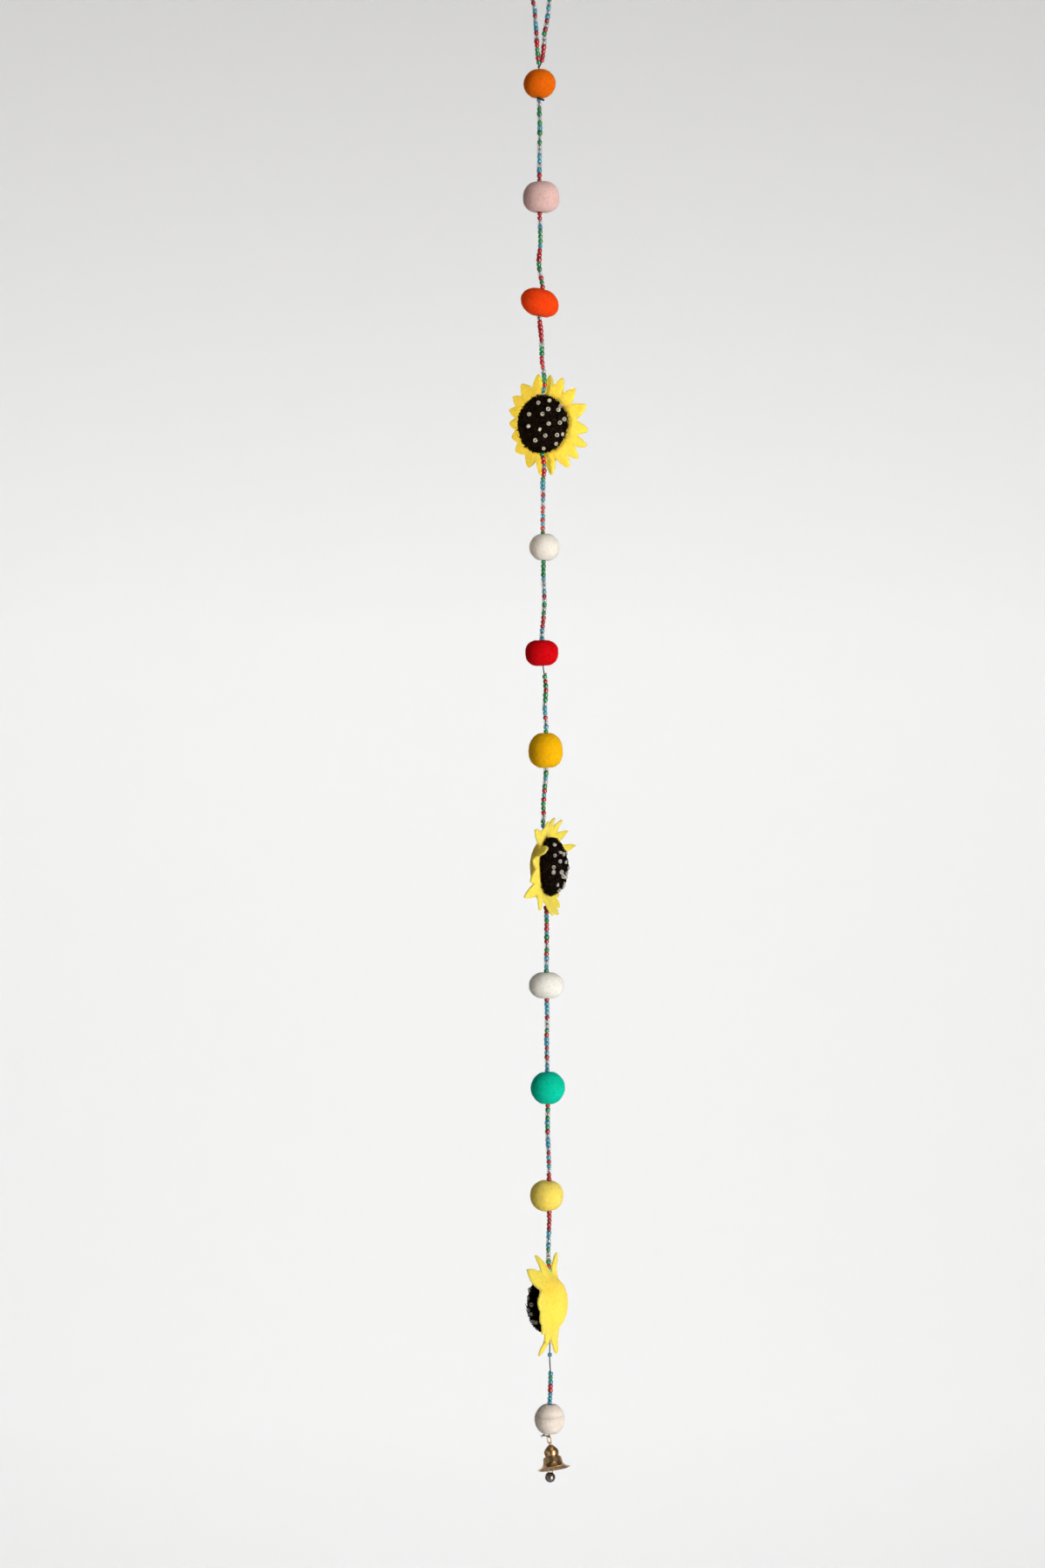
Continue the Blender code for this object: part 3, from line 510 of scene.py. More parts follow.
# The thread's line through every piece: x, y, z
stringRoute = [
    (-1.6, -0.1, -66.6), (-1.5, 0, -69.5), (-1.5, 0, -86), (-1.4, 0, -90), (-1.3, 0, -96), (-1, 0, -105),
    (-1.1, 0, -121), (-1.3, 0, -142), (-1.1, 0, -162), (-0.7, 0, -175), (-0.6, 0, -184.5),
    (-1.6, 0, -195.5), (-0.9, 0, -203), (0.5, 0, -210.5), (0.9, 0, -214.5), (-1.2, 0, -232),
    (-0.9, 0, -237.5), (0.2, 0, -248), (0.4, 0, -259.5), (1.4, -0.1, -269), (2.3, -0.3, -277.5),
    (1.2, -0.2, -284), (0.2, 0, -290), (-0.2, 0, -318.5), (1.3, -0.1, -327.5), (1.9, 0, -335),
    (1.1, 0, -343), (1.2, 0, -354), (1, 0, -374), (1.5, 0, -397), (1.5, 0, -408), (2.1, 0, -421),
    (1.4, 0, -434), (0.5, 0, -446), (1.1, 0, -464), (2.6, 0, -475), (3, 0, -483), (2.3, 0, -494.5),
    (3.1, 0, -505), (3.2, 0, -534), (2.3, 0, -546), (1.5, 0, -557), (1.6, 0, -566), (1.3, 0, -574),
    (2.9, 0, -621), (3.5, 0, -630), (3.6, 0, -650), (3.5, 0, -668), (3.7, 0, -688), (3.9, 0, -699),
    (3.6, 0, -715), (3.9, 0, -733), (4.3, 0, -759), (4.2, 0, -775), (4.9, 0, -790), (5.2, 0, -808),
    (5.3, 0, -836), (4.7, 0, -849), (4.9, 0, -864), (5.9, 0, -874), (5.7, 0, -915), (5.6, 0, -926),
    (6.2, 0, -938), (5.9, 0, -950), (5.3, 0, -960.5), (5.1, 0.6, -973.5),
]
leftStrand = [
    (-1.75, -0.8, -64), (-2.25, -1.3, -59.7), (-2.65, -1.2, -55.5), (-3, -0.5, -48), (-3.5, 0, -40.5),
    (-4.1, 0, -33), (-4.6, 0, -27.5), (-5.7, 0, -22), (-6.3, 0, -14), (-6.5, 0, -8.5),
]
rightStrand = [
    (0.2, 1.5, -63.4), (0.7, 1.7, -60.6), (1.3, 1.3, -56), (1.9, 0.5, -50), (2.1, 0, -44.5),
    (3.1, 0, -40.5), (4.1, 0, -33.5), (5, 0, -26.5), (5.5, 0, -21.5), (6.3, 0, -13.5), (6.5, 0, -8.5),
]
thread = {"radius": 0.4, "around": 12, "layLength": 2.6, "relief": 0.10, "knotRadius": 0.26,
          "loopKnot": (-1.6, -0.1, -66.6), "loopRadius": 6.5, "loopTop": 1.6,
          "linkTop": (5.1, 0.0, -979.2), "linkBend": 1.15,
          "tail": [(4.4, -1.7, -977.9), (3.0, -2.6, -977.7), (1.6, -3.2, -977.1)]}

loopCentre = (0.0, 0.0, thread["loopTop"] - thread["loopRadius"])
wireTop = np.array(thread["linkTop"]) + [0.0, 0.0, thread["linkBend"]]
stitch = arc(wireTop, thread["linkBend"], 180, 360, 16, across=(0, -1, 0))
stringLine = smoothLine(stringRoute, 1.0)
mainLine = smoothLine([*stringRoute[:-1], (5.1, 1.0, -974.5), *stitch, *thread["tail"]], 0.7)
leftLine = smoothLine([thread["loopKnot"], *leftStrand], 0.7)
rightLine = smoothLine([*rightStrand[::-1], (-0.95, 0.45, -65.9)], 0.7)
loopArc = arc(loopCentre, thread["loopRadius"], 180, 0, 30)
wholeThread = np.vstack([mainLine[::-1], leftLine[1:], loopArc, rightLine])
steps = np.linalg.norm(np.diff(wholeThread, axis=0), axis=1)
wholeThread = wholeThread[np.concatenate([[True], steps > 0.05])]  # without doubled points


def stringBetween(high, low, step=0.8):
    # the string's own line between two heights
    heights = np.linspace(high, low, max(3, int((high - low) / step)))
    return np.stack([np.interp(-heights, -stringLine[:, 2], stringLine[:, k]) for k in range(3)], axis=1)


def knotLine(centre, size, turn, steps=60):
    # an overhand knot pulled tight: a trefoil, two turns around and three in and out, flattened a little
    t = np.linspace(0, 2 * pi, steps, endpoint=False)
    x = np.sin(t) + 2 * np.sin(2 * t)
    y = np.cos(t) - 2 * np.cos(2 * t)
    z = -np.sin(3 * t) * 1.4
    points = np.stack([x * cos(turn) - z * sin(turn), y, x * sin(turn) + z * cos(turn)], axis=1)
    return np.asarray(centre) + points * size


threadBlack = threadFinish("threadBlack")
threadShell = tube(wholeThread, thread["radius"], thread["around"], plies=3, layLength=thread["layLength"],
                   relief=thread["relief"])
threadPiece = makePiece("threadLine", [threadShell], [threadBlack], ["thread"])

knotPlaces = [
    # middle, size, turn
    (thread["loopKnot"], 0.21, 0.3), (thread["tail"][-1], 0.20, 1.1), ((-1.7, -1.3, -233.4), 0.20, 0.7),
    ((3.1, -0.9, -470.6), 0.16, 0.2), ((5.7, -0.5, -935.0), 0.15, 0.9),
]
looseEnds = [
    # radius, line: two under the first ball, two beside the last ball's knot
    (0.62, [(-2.9, -1.6, -87.0), (-1.9, -2.2, -87.7), (-0.6, -2.1, -88.2), (0.7, -1.9, -88.6),
            (2.0, -1.6, -89.1)]),
    (0.52, [(-2.5, -1.9, -87.9), (-1.2, -2.5, -88.2), (0.3, -2.3, -88.7), (1.7, -2.1, -89.4)]),
    (0.22, [(1.6, -3.2, -977.2), (0.9, -3.6, -977.6), (0.1, -3.9, -978.6)]),
    (0.22, [(1.5, -3.3, -977.0), (0.7, -3.5, -977.0), (-0.6, -3.8, -977.6)]),
]
knots = [ringTube(knotLine(*place), thread["knotRadius"], 8) for place in knotPlaces]
for radius, end in looseEnds:
    knots.append(tube(smoothLine(end, 0.3), radius, 10, plies=3, layLength=2.4, relief=0.1))
makePiece("threadKnots", knots, [threadBlack])


# Seed beads

bead = {"radius": 1.68, "hole": 0.55, "fill": 0.97, "around": 16, "profile": 12, "jitter": 0.06, "tilt": 0.09,
        "square": 2.05, "flat": 0.98, "off": 0.06}
bare = {"left": 1.4, "right": 3.0, "top": 0.3}  # thread without beads at the ends of the loop's three stacks
beadCharts = {  # colours from the top down: R red, G green, A aqua, C clear
    "beads_loop_left": "GRAGCRCARCAARCRRGGRG", "beads_loop_top": "GCRGACRAG",
    "beads_loop_right": "RGACGCACARCRGCCRRRR", "beads_01": "ACGGCGAGCGCCAACARR",
    "beads_02": "RRCAGGGARRRGGCRGR", "beads_03": "CRRRRRCGGRRRCGGRAC", "beads_04": "GRRARRGAACRACRRARARG",
    "beads_05": "GGGGACCARCGCGRRRACA", "beads_06": "GRGRGGCAARCAG", "beads_07": "CGACGRARGGRCGA",
    "beads_08": "RRAGRRAGRCGRACAG", "beads_09": "RAAARCCGRAARARCAA", "beads_10": "RGCGAGRCAACRARACRR",
    "beads_11": "RRRRRAACAGCCGRA", "beads_12": "A", "beads_13": "AGARRAAA",
}
glassColours = "RGAC"
beadGlass = [
    glassFinish("redGlass", linear(206, 12, 26), linear(150, 2, 12), 0.40),
    glassFinish("greenGlass", linear(16, 164, 84), linear(2, 104, 50), 0.40),
    glassFinish("aquaGlass", linear(110, 214, 232), linear(60, 172, 204), 0.80),
    glassFinish("clearGlass", linear(250, 252, 252), linear(230, 236, 236), 0.94, 0.03),
]


def beadShape(halfLength, look):
    # a ring bead: a rounded box profile, |a|^n + |b|^n = 1, carried around the hole
    t = allRound(look["profile"])
    power = 2 / bead["square"]
    middle = (bead["radius"] + bead["hole"]) / 2
    out = middle + (bead["radius"] - bead["hole"]) / 2 * np.sign(np.cos(t)) * np.abs(np.cos(t)) ** power
    up = halfLength * np.sign(np.sin(t)) * np.abs(np.sin(t)) ** power
    turn = allRound(look["around"])
    return np.stack([out[:, None] * np.cos(turn), out[:, None] * np.sin(turn),
                     np.broadcast_to(up[:, None], (len(t), len(turn)))], axis=-1)


def placedBeads(centres, ahead, first, second, halfLength, seed, look=bead):
    # one bead for each centre, a little larger or smaller, tilted and off the middle, as strung beads sit
    draw = np.random.default_rng(seed)
    count = len(centres)
    shape = beadShape(halfLength, look)
    lean = draw.normal(0, bead["tilt"], (count, 2))
    ahead = unit(ahead + lean[:, :1] * first + lean[:, 1:] * second)
    first = unit(first - ahead * (first * ahead).sum(axis=1, keepdims=True))
    second = np.cross(ahead, first)
    size = 1 + draw.normal(0, bead["jitter"], count)[:, None, None, None]
    local = shape[None] * size * [1, 1, bead["flat"]]
    off = bead["off"]
    centres = centres + first * draw.normal(0, off, (count, 1)) + second * draw.normal(0, off, (count, 1))
    points = (centres[:, None, None] + local[..., :1] * first[:, None, None]
              + local[..., 1:2] * second[:, None, None] + local[..., 2:] * ahead[:, None, None])
    one = shape.shape[0] * shape.shape[1]
    quads = gridQuads(shape.shape[0], shape.shape[1], closeRows=True)
    points = points.reshape(-1, 3)
    return points, outwards(points, repeated(one, [quads], count)), len(quads)


def strungBeads(node, line, seed):
    chart = beadCharts[node]
    pitch = travelled(line)[-1] / len(chart)
    places = (np.arange(len(chart)) + 0.5) * pitch
    ways = [atDistance(line, places, way) for way in carried(line)]
    points, faces, each = placedBeads(atDistance(line, places), *ways, pitch / 2 * bead["fill"], seed)
    marks = [np.repeat([glassColours.index(letter) for letter in chart], each)]
    makePiece("strung_" + node, [(points, faces, marks)], beadGlass, [node])


topArc = arc(loopCentre, thread["loopRadius"], 180, 0, 60)
topLine = np.vstack([np.linspace(leftLine[-1], topArc[0], 6)[:-1], topArc,
                     np.linspace(topArc[-1], rightLine[0], 6)[1:]])


def beadedPart(line, start, end):
    return atDistance(line, np.linspace(start, end, 80))


loopLines = {
    "beads_loop_left": beadedPart(leftLine, travelled(leftLine)[-1], bare["left"]),
    "beads_loop_right": beadedPart(rightLine, 0.0, travelled(rightLine)[-1] - bare["right"]),
    "beads_loop_top": beadedPart(topLine, bare["top"], travelled(topLine)[-1] - bare["top"]),
}
for number, node in enumerate(beadCharts):
    if node in loopLines:
        strungBeads(node, loopLines[node], 50 + number)
    else:
        low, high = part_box(node)
        strungBeads(node, stringBetween(high[2] / mm, low[2] / mm), 50 + number)
print("beads strung:", sum(len(chart) for chart in beadCharts.values()))


# Felt balls

ballLook = {"dimple": 1.45, "dimpleWidth": 2.5, "rows": 74, "columns": 108, "waves": (0.010, 0.008, 0.008),
            "clump": 0.05, "clumpSize": 3.2, "crumb": 0.05, "crumbSize": 1.2, "bumpWaves": 26,
            "woundStreaks": 0.6}
ballFibres = {"count": 900, "steps": 4, "length": 2.1, "curl": 1.7, "lift": 0.32, "width": 0.06, "taper": 0.8,
              "bow": (0.45, 0.95)}
balls = [
    # node, middle x and z, width, height, turn of the long axis, squareness, taper, seed, colour
    ("ball_orange", -1.1, -77.8, 21.2, 20.1, 0, 2.0, 0.00, 1, (214, 98, 3)),
    ("ball_pink", 0.0, -153.2, 24.0, 21.1, 0, 2.3, 0.05, 2, (209, 174, 167)),
    ("ball_vermilion", -0.9, -223.5, 25.8, 18.6, 19, 2.1, 0.00, 3, (225, 64, 11)),
    ("ball_cream", 2.2, -386.4, 20.2, 18.9, 0, 2.0, 0.00, 4, (220, 214, 204)),
    ("ball_red", 0.3, -456.8, 22.1, 17.6, 0, 2.5, 0.00, 5, (196, 0, 10)),
    ("ball_mustard", 3.0, -521.6, 22.6, 24.0, 0, 2.3, 0.07, 6, (225, 169, 5)),
    ("ball_white", 3.3, -678.1, 23.3, 18.2, 0, 2.1, 0.00, 7, (222, 219, 210)),
    ("ball_teal", 4.4, -746.4, 22.4, 22.5, 0, 2.0, 0.00, 8, (2, 184, 151)),
    ("ball_lemon", 3.7, -818.1, 22.3, 21.1, 0, 2.1, 0.00, 9, (227, 204, 93)),
    ("ball_greige", 5.6, -966.8, 20.0, 21.1, 0, 2.0, 0.02, 10, (217, 206, 194)),
]


def ballRings(x, z, width, height, turned, square, taper, seed):
    # a rounded box in the round, (|sin|^n + |cos|^n)^(-1/n) along each ray, with slow waves, a taper, and a
    # dimple at each end that is deepest where the thread goes in and falls off as a bell curve
    phases = np.random.default_rng(seed).uniform(0, 2 * pi, 4)
    polar = np.radians(np.linspace(2.5, 177.5, ballLook["rows"]))[:, None]
    turn = allRound(ballLook["columns"])[None, :]
    swing = radians(turned)
    tilt = np.array([[cos(swing), 0, sin(swing)], [0, 1, 0], [-sin(swing), 0, cos(swing)]])
    stretch = tilt @ np.diag([width / 2, (width + height) / 4, height / 2]) @ tilt.T
    swell = (np.abs(np.sin(polar)) ** square + np.abs(np.cos(polar)) ** square) ** (-1 / square)
    around, slant, down = ballLook["waves"]
    waves = (around * np.sin(2 * turn + phases[0]) + slant * np.sin(3 * turn + 2 * polar + phases[1])
             + down * np.cos(3 * polar + phases[2]))
    reach = swell * (1 + waves * np.sin(polar))
    narrow = 1 - taper * np.cos(polar)
    wide = reach * np.sin(polar)
    shape = np.stack([wide * np.cos(turn) * narrow, wide * np.sin(turn) * narrow, reach * np.cos(polar)],
                     axis=-1)
    surface = shape @ stretch.T + [x, 0, z]
    half = np.linalg.norm(stretch[2])
    for sign in (1, -1):
        pole = stringBetween(z + sign * half + 0.1, z + sign * half - 0.1)[1]
        away = np.hypot(surface[..., 0] - pole[0], surface[..., 1] - pole[1])
        near = np.clip((surface[..., 2] - z) * sign / half, 0, 1)
        surface[..., 2] -= sign * ballLook["dimple"] * np.exp(-(away / ballLook["dimpleWidth"]) ** 2) * near
    return roughened(surface, ballLook, seed + 20, seed + 40)


for node, x, z, width, height, turned, square, taper, seed, colour in balls:
    wrap = ballLook["woundStreaks"] if node == "ball_greige" else 0.0
    finish = feltFinish(node.replace("ball_", "felt_"), linear(*colour), wrap)
    rings = ballRings(x, z, width, height, turned, square, taper, seed)
    shell = closedShell(rings)
    fibres = strayFibres(rings, ballFibres, seed + 60)
    piece = makePiece(node.replace("ball_", "feltBall_"), [shell, fibres], [finish], [node])
print("felt balls:", len(balls))


# Sunflowers

picture = {"scale": 0.58, "middle": 621.5, "above": 38.0}  # millimetres per picture point, and where 0 is
flowerLook = {"felt": 2.0, "pod": 17.2, "curl": 1.4, "columns": 440, "fold": 0.32, "foldWidth": 0.24,
              "thinner": 0.15, "edge": 0.45, "edgeHalf": 0.85, "beforeEdge": 0.97, "tipRound": 0.07,
              "point": 1.3, "leanBlend": 0.4, "clump": 0.12, "clumpSize": 4.0, "crumb": 0.07,
              "crumbSize": 1.3, "bumpWaves": 26}
hollow = {"from": 0.9, "wide": 0.36, "high": 0.436, "steep": 2.065}  # shares of the pod's radius and height
domeLook = {"radius": 18.6, "seat": 4.2, "columns": 160, "wobble": (0.012, 0.010), "clump": 0.26,
            "clumpSize": 2.1, "crumb": 0.20, "crumbSize": 1.1, "bumpWaves": 40,
            "seated": [(0.1, 1.35), (0.45, 1.35), (0.78, 1.4), (0.9, 1.7), (0.965, 2.5), (0.995, 3.4)]}
petalFibres = {**ballFibres, "count": 1200, "length": 1.9, "curl": 1.6, "lift": 0.26}
domeCurls = {"count": 1800, "steps": 7, "length": 2.3, "curl": 4.2, "lift": 0.55, "width": 0.42,
             "taper": 0.25, "bow": (0.92, 1.06)}
crystal = {"radius": 1.5, "half": 0.95, "proud": 0.75, "lean": 0.4, "around": 14, "profile": 8,
           "more": 17, "moreScatter": 0.6, "apart": 4.0}
flowers = [
    # petals: clock angle, reach, radius of the cut beside it, lean of the tip to the front;
    # crystals: places in a close-up of the picture, its zoom, and the picture point of its corner
    {"name": "sunflower_1", "faces": (-0.545, -0.839), "centre": (3.3, -304.5), "threadDepth": 5.4,
     "back": 8.0, "front": 8.6,
     "petals": [(20.6, 32.5, 23, -2), (47.3, 31.7, 23.5, -2), (68.9, 33.1, 26, -2), (86.6, 33.5, 25, -2),
        (102.4, 35, 28, -2), (125.6, 34.7, 28, -1), (142.9, 33.1, 27.5, 0), (158.7, 30.8, 25, 1),
        (176, 28.6, 24.5, 1), (196, 27.6, 25, 1), (215.1, 29.6, 25.5, 0), (242.2, 31.5, 24.5, -1),
        (260.4, 34.1, 25, -2), (275, 33.5, 23.4, -2), (300, 33.8, 27, -2), (315.5, 33.1, 26, -3),
        (333.3, 34, 24.1, -3), (350.5, 31.5, 22.9, -3)],
     "zoom": 11.2, "corner": (570, 420),
     "crystals": [(548, 490), (683, 465), (820, 540), (795, 585), (670, 575), (430, 630), (600, 635),
                  (865, 705), (420, 780), (678, 760), (815, 750), (565, 828), (635, 905), (775, 900),
                  (860, 890), (510, 960), (765, 1005), (612, 1060)]},
    {"name": "sunflower_2", "faces": (0.97, -0.243), "centre": (2.1, -599.1), "threadDepth": 0.0,
     "back": 7.8, "front": 10.2,
     "petals": [(4, 31, 23.5, 0), (25, 33, 23, 14), (46, 33, 27, 10.5), (66, 34, 27, 8.5),
        (80, 33, 25, 5.5), (104, 31, 26.5, 4.5), (127, 31, 21.5, -1.5), (149, 24.5, 21.5, 7.5),
        (171, 30.5, 23, 0), (196, 33, 23.5, -1.5), (217, 33, 26, -7), (240, 33, 23, 1),
        (260, 33, 30, 7), (281, 33, 29, 8), (299, 31.5, 28, 6.5), (319, 30.5, 25, 4),
        (341, 30, 24, 0)],
     "zoom": 12.06, "corner": (570, 930),
     "crystals": [(795, 485), (870, 585), (915, 610), (797, 628), (865, 705), (945, 720), (780, 785),
                  (780, 850), (885, 850), (955, 870), (905, 910), (940, 925), (835, 1020), (925, 1020),
                  (855, 1095)]},
    {"name": "sunflower_3", "faces": (-0.966, 0.259), "centre": (6.8, -890.3), "threadDepth": 1.0,
     "back": 9.3, "front": 10.4,
     "petals": [(8, 32.5, 26, 0.5), (50, 32.5, 25, 11), (77, 34, 22.6, 9), (103, 34.5, 24, -1.5),
        (124, 32.5, 24, 3), (145, 32, 24.5, 4), (165, 32, 24, 3), (186, 31.5, 24, 4),
        (207, 32, 24, 4), (229, 32.5, 27, 1.5), (257, 34.8, 23.5, -1.5), (283, 34.8, 26.5, 6.5),
        (304, 29, 24, -0.5), (325, 29.5, 27, -0.3), (347, 31.5, 28.5, -0.5)],
     "zoom": 11.2, "corner": (575, 1425),
     "crystals": [(375, 715), (410, 780), (375, 855), (405, 900), (430, 1000), (465, 1005)]},
]


def flowerAxes(flower):
    # its middle and its directions across, up and forward; it stands upright and faces one way
    forward = np.array([*flower["faces"], 0.0])
    forward = forward / np.linalg.norm(forward)
    x, z = flower["centre"]
    middle = np.array([x, -forward[1] * flower["threadDepth"], z])
    return middle, np.array([-forward[1], forward[0], 0.0]), np.array([0.0, 0.0, 1.0]), forward


def flowerPoint(flower, x, z, depth):
    # a place given across, up and forward from the flower's middle
    middle, across, up, forward = flowerAxes(flower)
    x, z, depth = np.broadcast_arrays(x, z, depth)
    return middle + x[..., None] * across + z[..., None] * up + depth[..., None] * forward


def petalFacts(flower, clock):
    # for each clock angle: the edge's reach, the petal's own reach and lean, and the way from its tip to the
    # cut, 0 to 1; the edge falls with a power of that way and is rounded at the tip
    petals = np.array(flower["petals"])
    starts = petals[:, 0]
    index = (np.searchsorted(starts, clock, side="right") - 1) % len(starts)
    after = (index + 1) % len(starts)
    step = (starts[after] - starts[index]) % 360
    part = ((clock - starts[index]) % 360) / step
    nearer = np.where(part < 0.5, index, after)
    offset = np.where(part < 0.5, part, 1 - part) * 2
    tip, cut, lean = petals[nearer, 1], petals[index, 2], petals[nearer, 3]
    blend = np.clip((offset - 1 + flowerLook["leanBlend"]) / flowerLook["leanBlend"], 0, 1) ** 2 / 2
    other = np.where(part < 0.5, after, index)
    lean = lean * (1 - blend) + petals[other, 3] * blend
    tipReach = tip * (1 - blend) + petals[other, 1] * blend
    blunt, point = flowerLook["tipRound"], flowerLook["point"]
    atTip, atCut = blunt ** point, (1 + blunt**2) ** (point / 2)
    drop = ((offset**2 + blunt**2) ** (point / 2) - atTip) / (atCut - atTip)
    return tip - (tip - cut) * drop, tipReach, lean, offset


def petalRings(flower, seed):
    # sections at each clock angle run from the middle of the back over its dome, out along the petal's back,
    # around the cut edge and back in along the front; the petal rises to the front with a power of its length
    look = flowerLook
    clock = np.arange(look["columns"]) * 360.0 / look["columns"]
    reach, tipReach, lean, offset = petalFacts(flower, clock)
    angle = np.radians(clock)
    half = look["felt"] / 2
    rows = []

    def addRow(radius, depth):
        rows.append(flowerPoint(flower, radius * np.cos(angle), radius * np.sin(angle), depth + 0 * angle))

    def rise(radius):
        return lean * np.clip((radius - look["pod"]) / (tipReach - look["pod"]), 0, 2) ** look["curl"]

    def fold(share):
        # a valley between neighbouring petals, deepest at the cut
        return look["fold"] * np.exp(-((1 - offset) / look["foldWidth"]) ** 2) * share

    def swollen(radius):
        # the back's dome is half an ellipse; near its edge a cubic goes on at its height and slope, down to 0
        share = radius / look["pod"]
        t = np.clip((share - hollow["from"]) / hollow["wide"], 0, 1)
        runOut = ((2 * t**3 - 3 * t**2 + 1) * hollow["high"]
                  - (t**3 - 2 * t**2 + t) * hollow["wide"] * hollow["steep"])
        return flower["back"] * np.where(share < hollow["from"], np.sqrt(np.clip(1 - share**2, 0, 1)), runOut)

    for share in np.sin(np.radians(np.linspace(4, 74, 15))):
        radius = look["pod"] * share + 0 * angle
        addRow(radius, -half - swollen(radius))
    for share in np.linspace(0.0, look["beforeEdge"], 18):
        radius = look["pod"] + (reach - look["pod"]) * share
        thick = half * (1 - look["thinner"] * share)
        addRow(radius, rise(radius) - thick + fold(share) * 0.6 - swollen(radius))
    for turn in np.radians([-60, -25, 0, 25, 60]):
        radius = reach - look["edge"] + look["edge"] * cos(turn)
        addRow(radius, rise(radius) + look["edgeHalf"] * half * sin(turn))
    for share in np.linspace(look["beforeEdge"], 0.0, 14):
        radius = look["pod"] + (reach - look["pod"]) * share
        addRow(radius, rise(radius) + half * (1 - look["thinner"] * share) - fold(share))
    for share in (0.9, 0.72, 0.45, 0.15):
        addRow(look["pod"] * share + 0 * angle, half)
    return roughened(np.array(rows), look, seed, seed + 1, slice(-5, None))


def domeDepth(flower, x, z):
    # half an ellipse over the seat
    share = np.clip((x * x + z * z) / domeLook["radius"] ** 2, 0, 0.995)
    return domeLook["seat"] + flower["front"] * np.sqrt(1 - share)


def domeSlopes(flower, x, z, near=0.05):
    # the dome's rise across and upwards, from two near points each
    across = domeDepth(flower, x + near, z) - domeDepth(flower, x - near, z)
    upwards = domeDepth(flower, x, z + near) - domeDepth(flower, x, z - near)
    return across / (2 * near), upwards / (2 * near)


def domeRings(flower, seed):
    # a stuffed round: flat at the back, a tight shoulder, then half an ellipse to the front, bumpy with loops
    look = domeLook
    clock = allRound(look["columns"])
    wobble = 1 + look["wobble"][0] * np.sin(5 * clock) + look["wobble"][1] * np.cos(3 * clock)
    turns = np.radians(np.linspace(0, 87, 38))
    outline = look["seated"] + [(cos(turn), look["seat"] + flower["front"] * sin(turn)) for turn in turns]
    rows = []
    for share, depth in outline:
        radius = look["radius"] * share * wobble
        rows.append(flowerPoint(flower, radius * np.cos(clock), radius * np.sin(clock), depth))
    return roughened(np.array(rows), look, seed, seed + 1, slice(0, 3))


def sewnCrystals(flower, seed):
    # each place in the picture becomes the place on the dome, facing the viewer, that is seen nearest to it
    middle, across, up, forward = flowerAxes(flower)
    seen = np.array(flower["crystals"]) / flower["zoom"] + flower["corner"]
    seenX = (seen[:, 0] - picture["middle"]) * picture["scale"]
    z = -(seen[:, 1] + picture["above"]) * picture["scale"] - middle[2]
    tries = np.linspace(-0.97, 0.97, 389)[:, None] * np.sqrt(np.maximum(domeLook["radius"] ** 2 - z * z, 1.0))
    triedX = middle[0] + tries * across[0] + domeDepth(flower, tries, z) * forward[0]
    turnedAway = domeSlopes(flower, tries, z)[0] * across[1] - forward[1] < 0.05
    nearest = np.argmin(np.abs(triedX - seenX) + 100 * turnedAway, axis=0)
    x = tries[nearest, np.arange(len(z))]
    # the side that the picture hides gets the same spacing, on a spiral of golden angles
    draw = np.random.default_rng(seed + 5)
    more, scatter = crystal["more"], crystal["moreScatter"]
    turn = np.arange(more) * 2.4 + 0.6
    reach = domeLook["radius"] * np.sqrt((np.arange(more) + 0.5) / more) * 0.9
    moreX = reach * np.cos(turn) + draw.normal(0, scatter, more)
    moreZ = reach * np.sin(turn) + draw.normal(0, scatter, more)
    hidden = domeSlopes(flower, moreX, moreZ)[0] * across[1] - forward[1] < 0.0
    clear = np.min(np.hypot(moreX[:, None] - x, moreZ[:, None] - z), axis=1) > crystal["apart"]
    x, z = np.concatenate([x, moreX[hidden & clear]]), np.concatenate([z, moreZ[hidden & clear]])
    slopeX, slopeZ = domeSlopes(flower, x, z)
    normal = unit(forward - slopeX[:, None] * across - slopeZ[:, None] * up)
    centres = flowerPoint(flower, x, z, domeDepth(flower, x, z)) + normal * crystal["proud"]
    normal = unit(normal + np.random.default_rng(seed).normal(0, crystal["lean"], normal.shape))
    side = unit(np.cross(normal, [0.3, 0.2, 1.0]))
    scale = crystal["radius"] / bead["radius"]
    points, faces, _ = placedBeads(np.zeros((len(x), 3)), normal, side, np.cross(normal, side),
                                   crystal["half"] / scale, seed, crystal)
    each = len(points) // len(x)
    return points * scale + np.repeat(centres, each, axis=0), faces


petalYellow = feltFinish("petalYellow", linear(255, 207, 78), glow=0.9, soak=0.008,
                         soakColours=(1.0, 1.0, 0.6))
centreBlack = boucleFinish("centreBlack")
crystalGlass = glassFinish("crystalGlass", linear(254, 249, 238), linear(224, 212, 192), 0.64, 0.06)
for number, flower in enumerate(flowers):
    name = flower["name"]
    rings = petalRings(flower, 200 + 10 * number)
    shell = closedShell(rings)
    fibres = strayFibres(rings, petalFibres, 210 + number, slice(-6, None))
    petals = makePiece(name.replace("sunflower", "sunflowerPetals"), [shell, fibres], [petalYellow],
                       [name + "_petals"])
    rings = domeRings(flower, 230 + 10 * number)
    shell = closedShell(rings)
    curls = strayFibres(rings, domeCurls, 240 + number, slice(0, 4))
    centre = makePiece(name.replace("sunflower", "sunflowerCentre"), [shell, curls], [centreBlack],
                       [name + "_centre"])
    crystals = sewnCrystals(flower, 250 + number)
    makePiece(name.replace("sunflower", "sunflowerCrystals"), [crystals], [crystalGlass])
print("sunflowers:", len(flowers))


# Bell

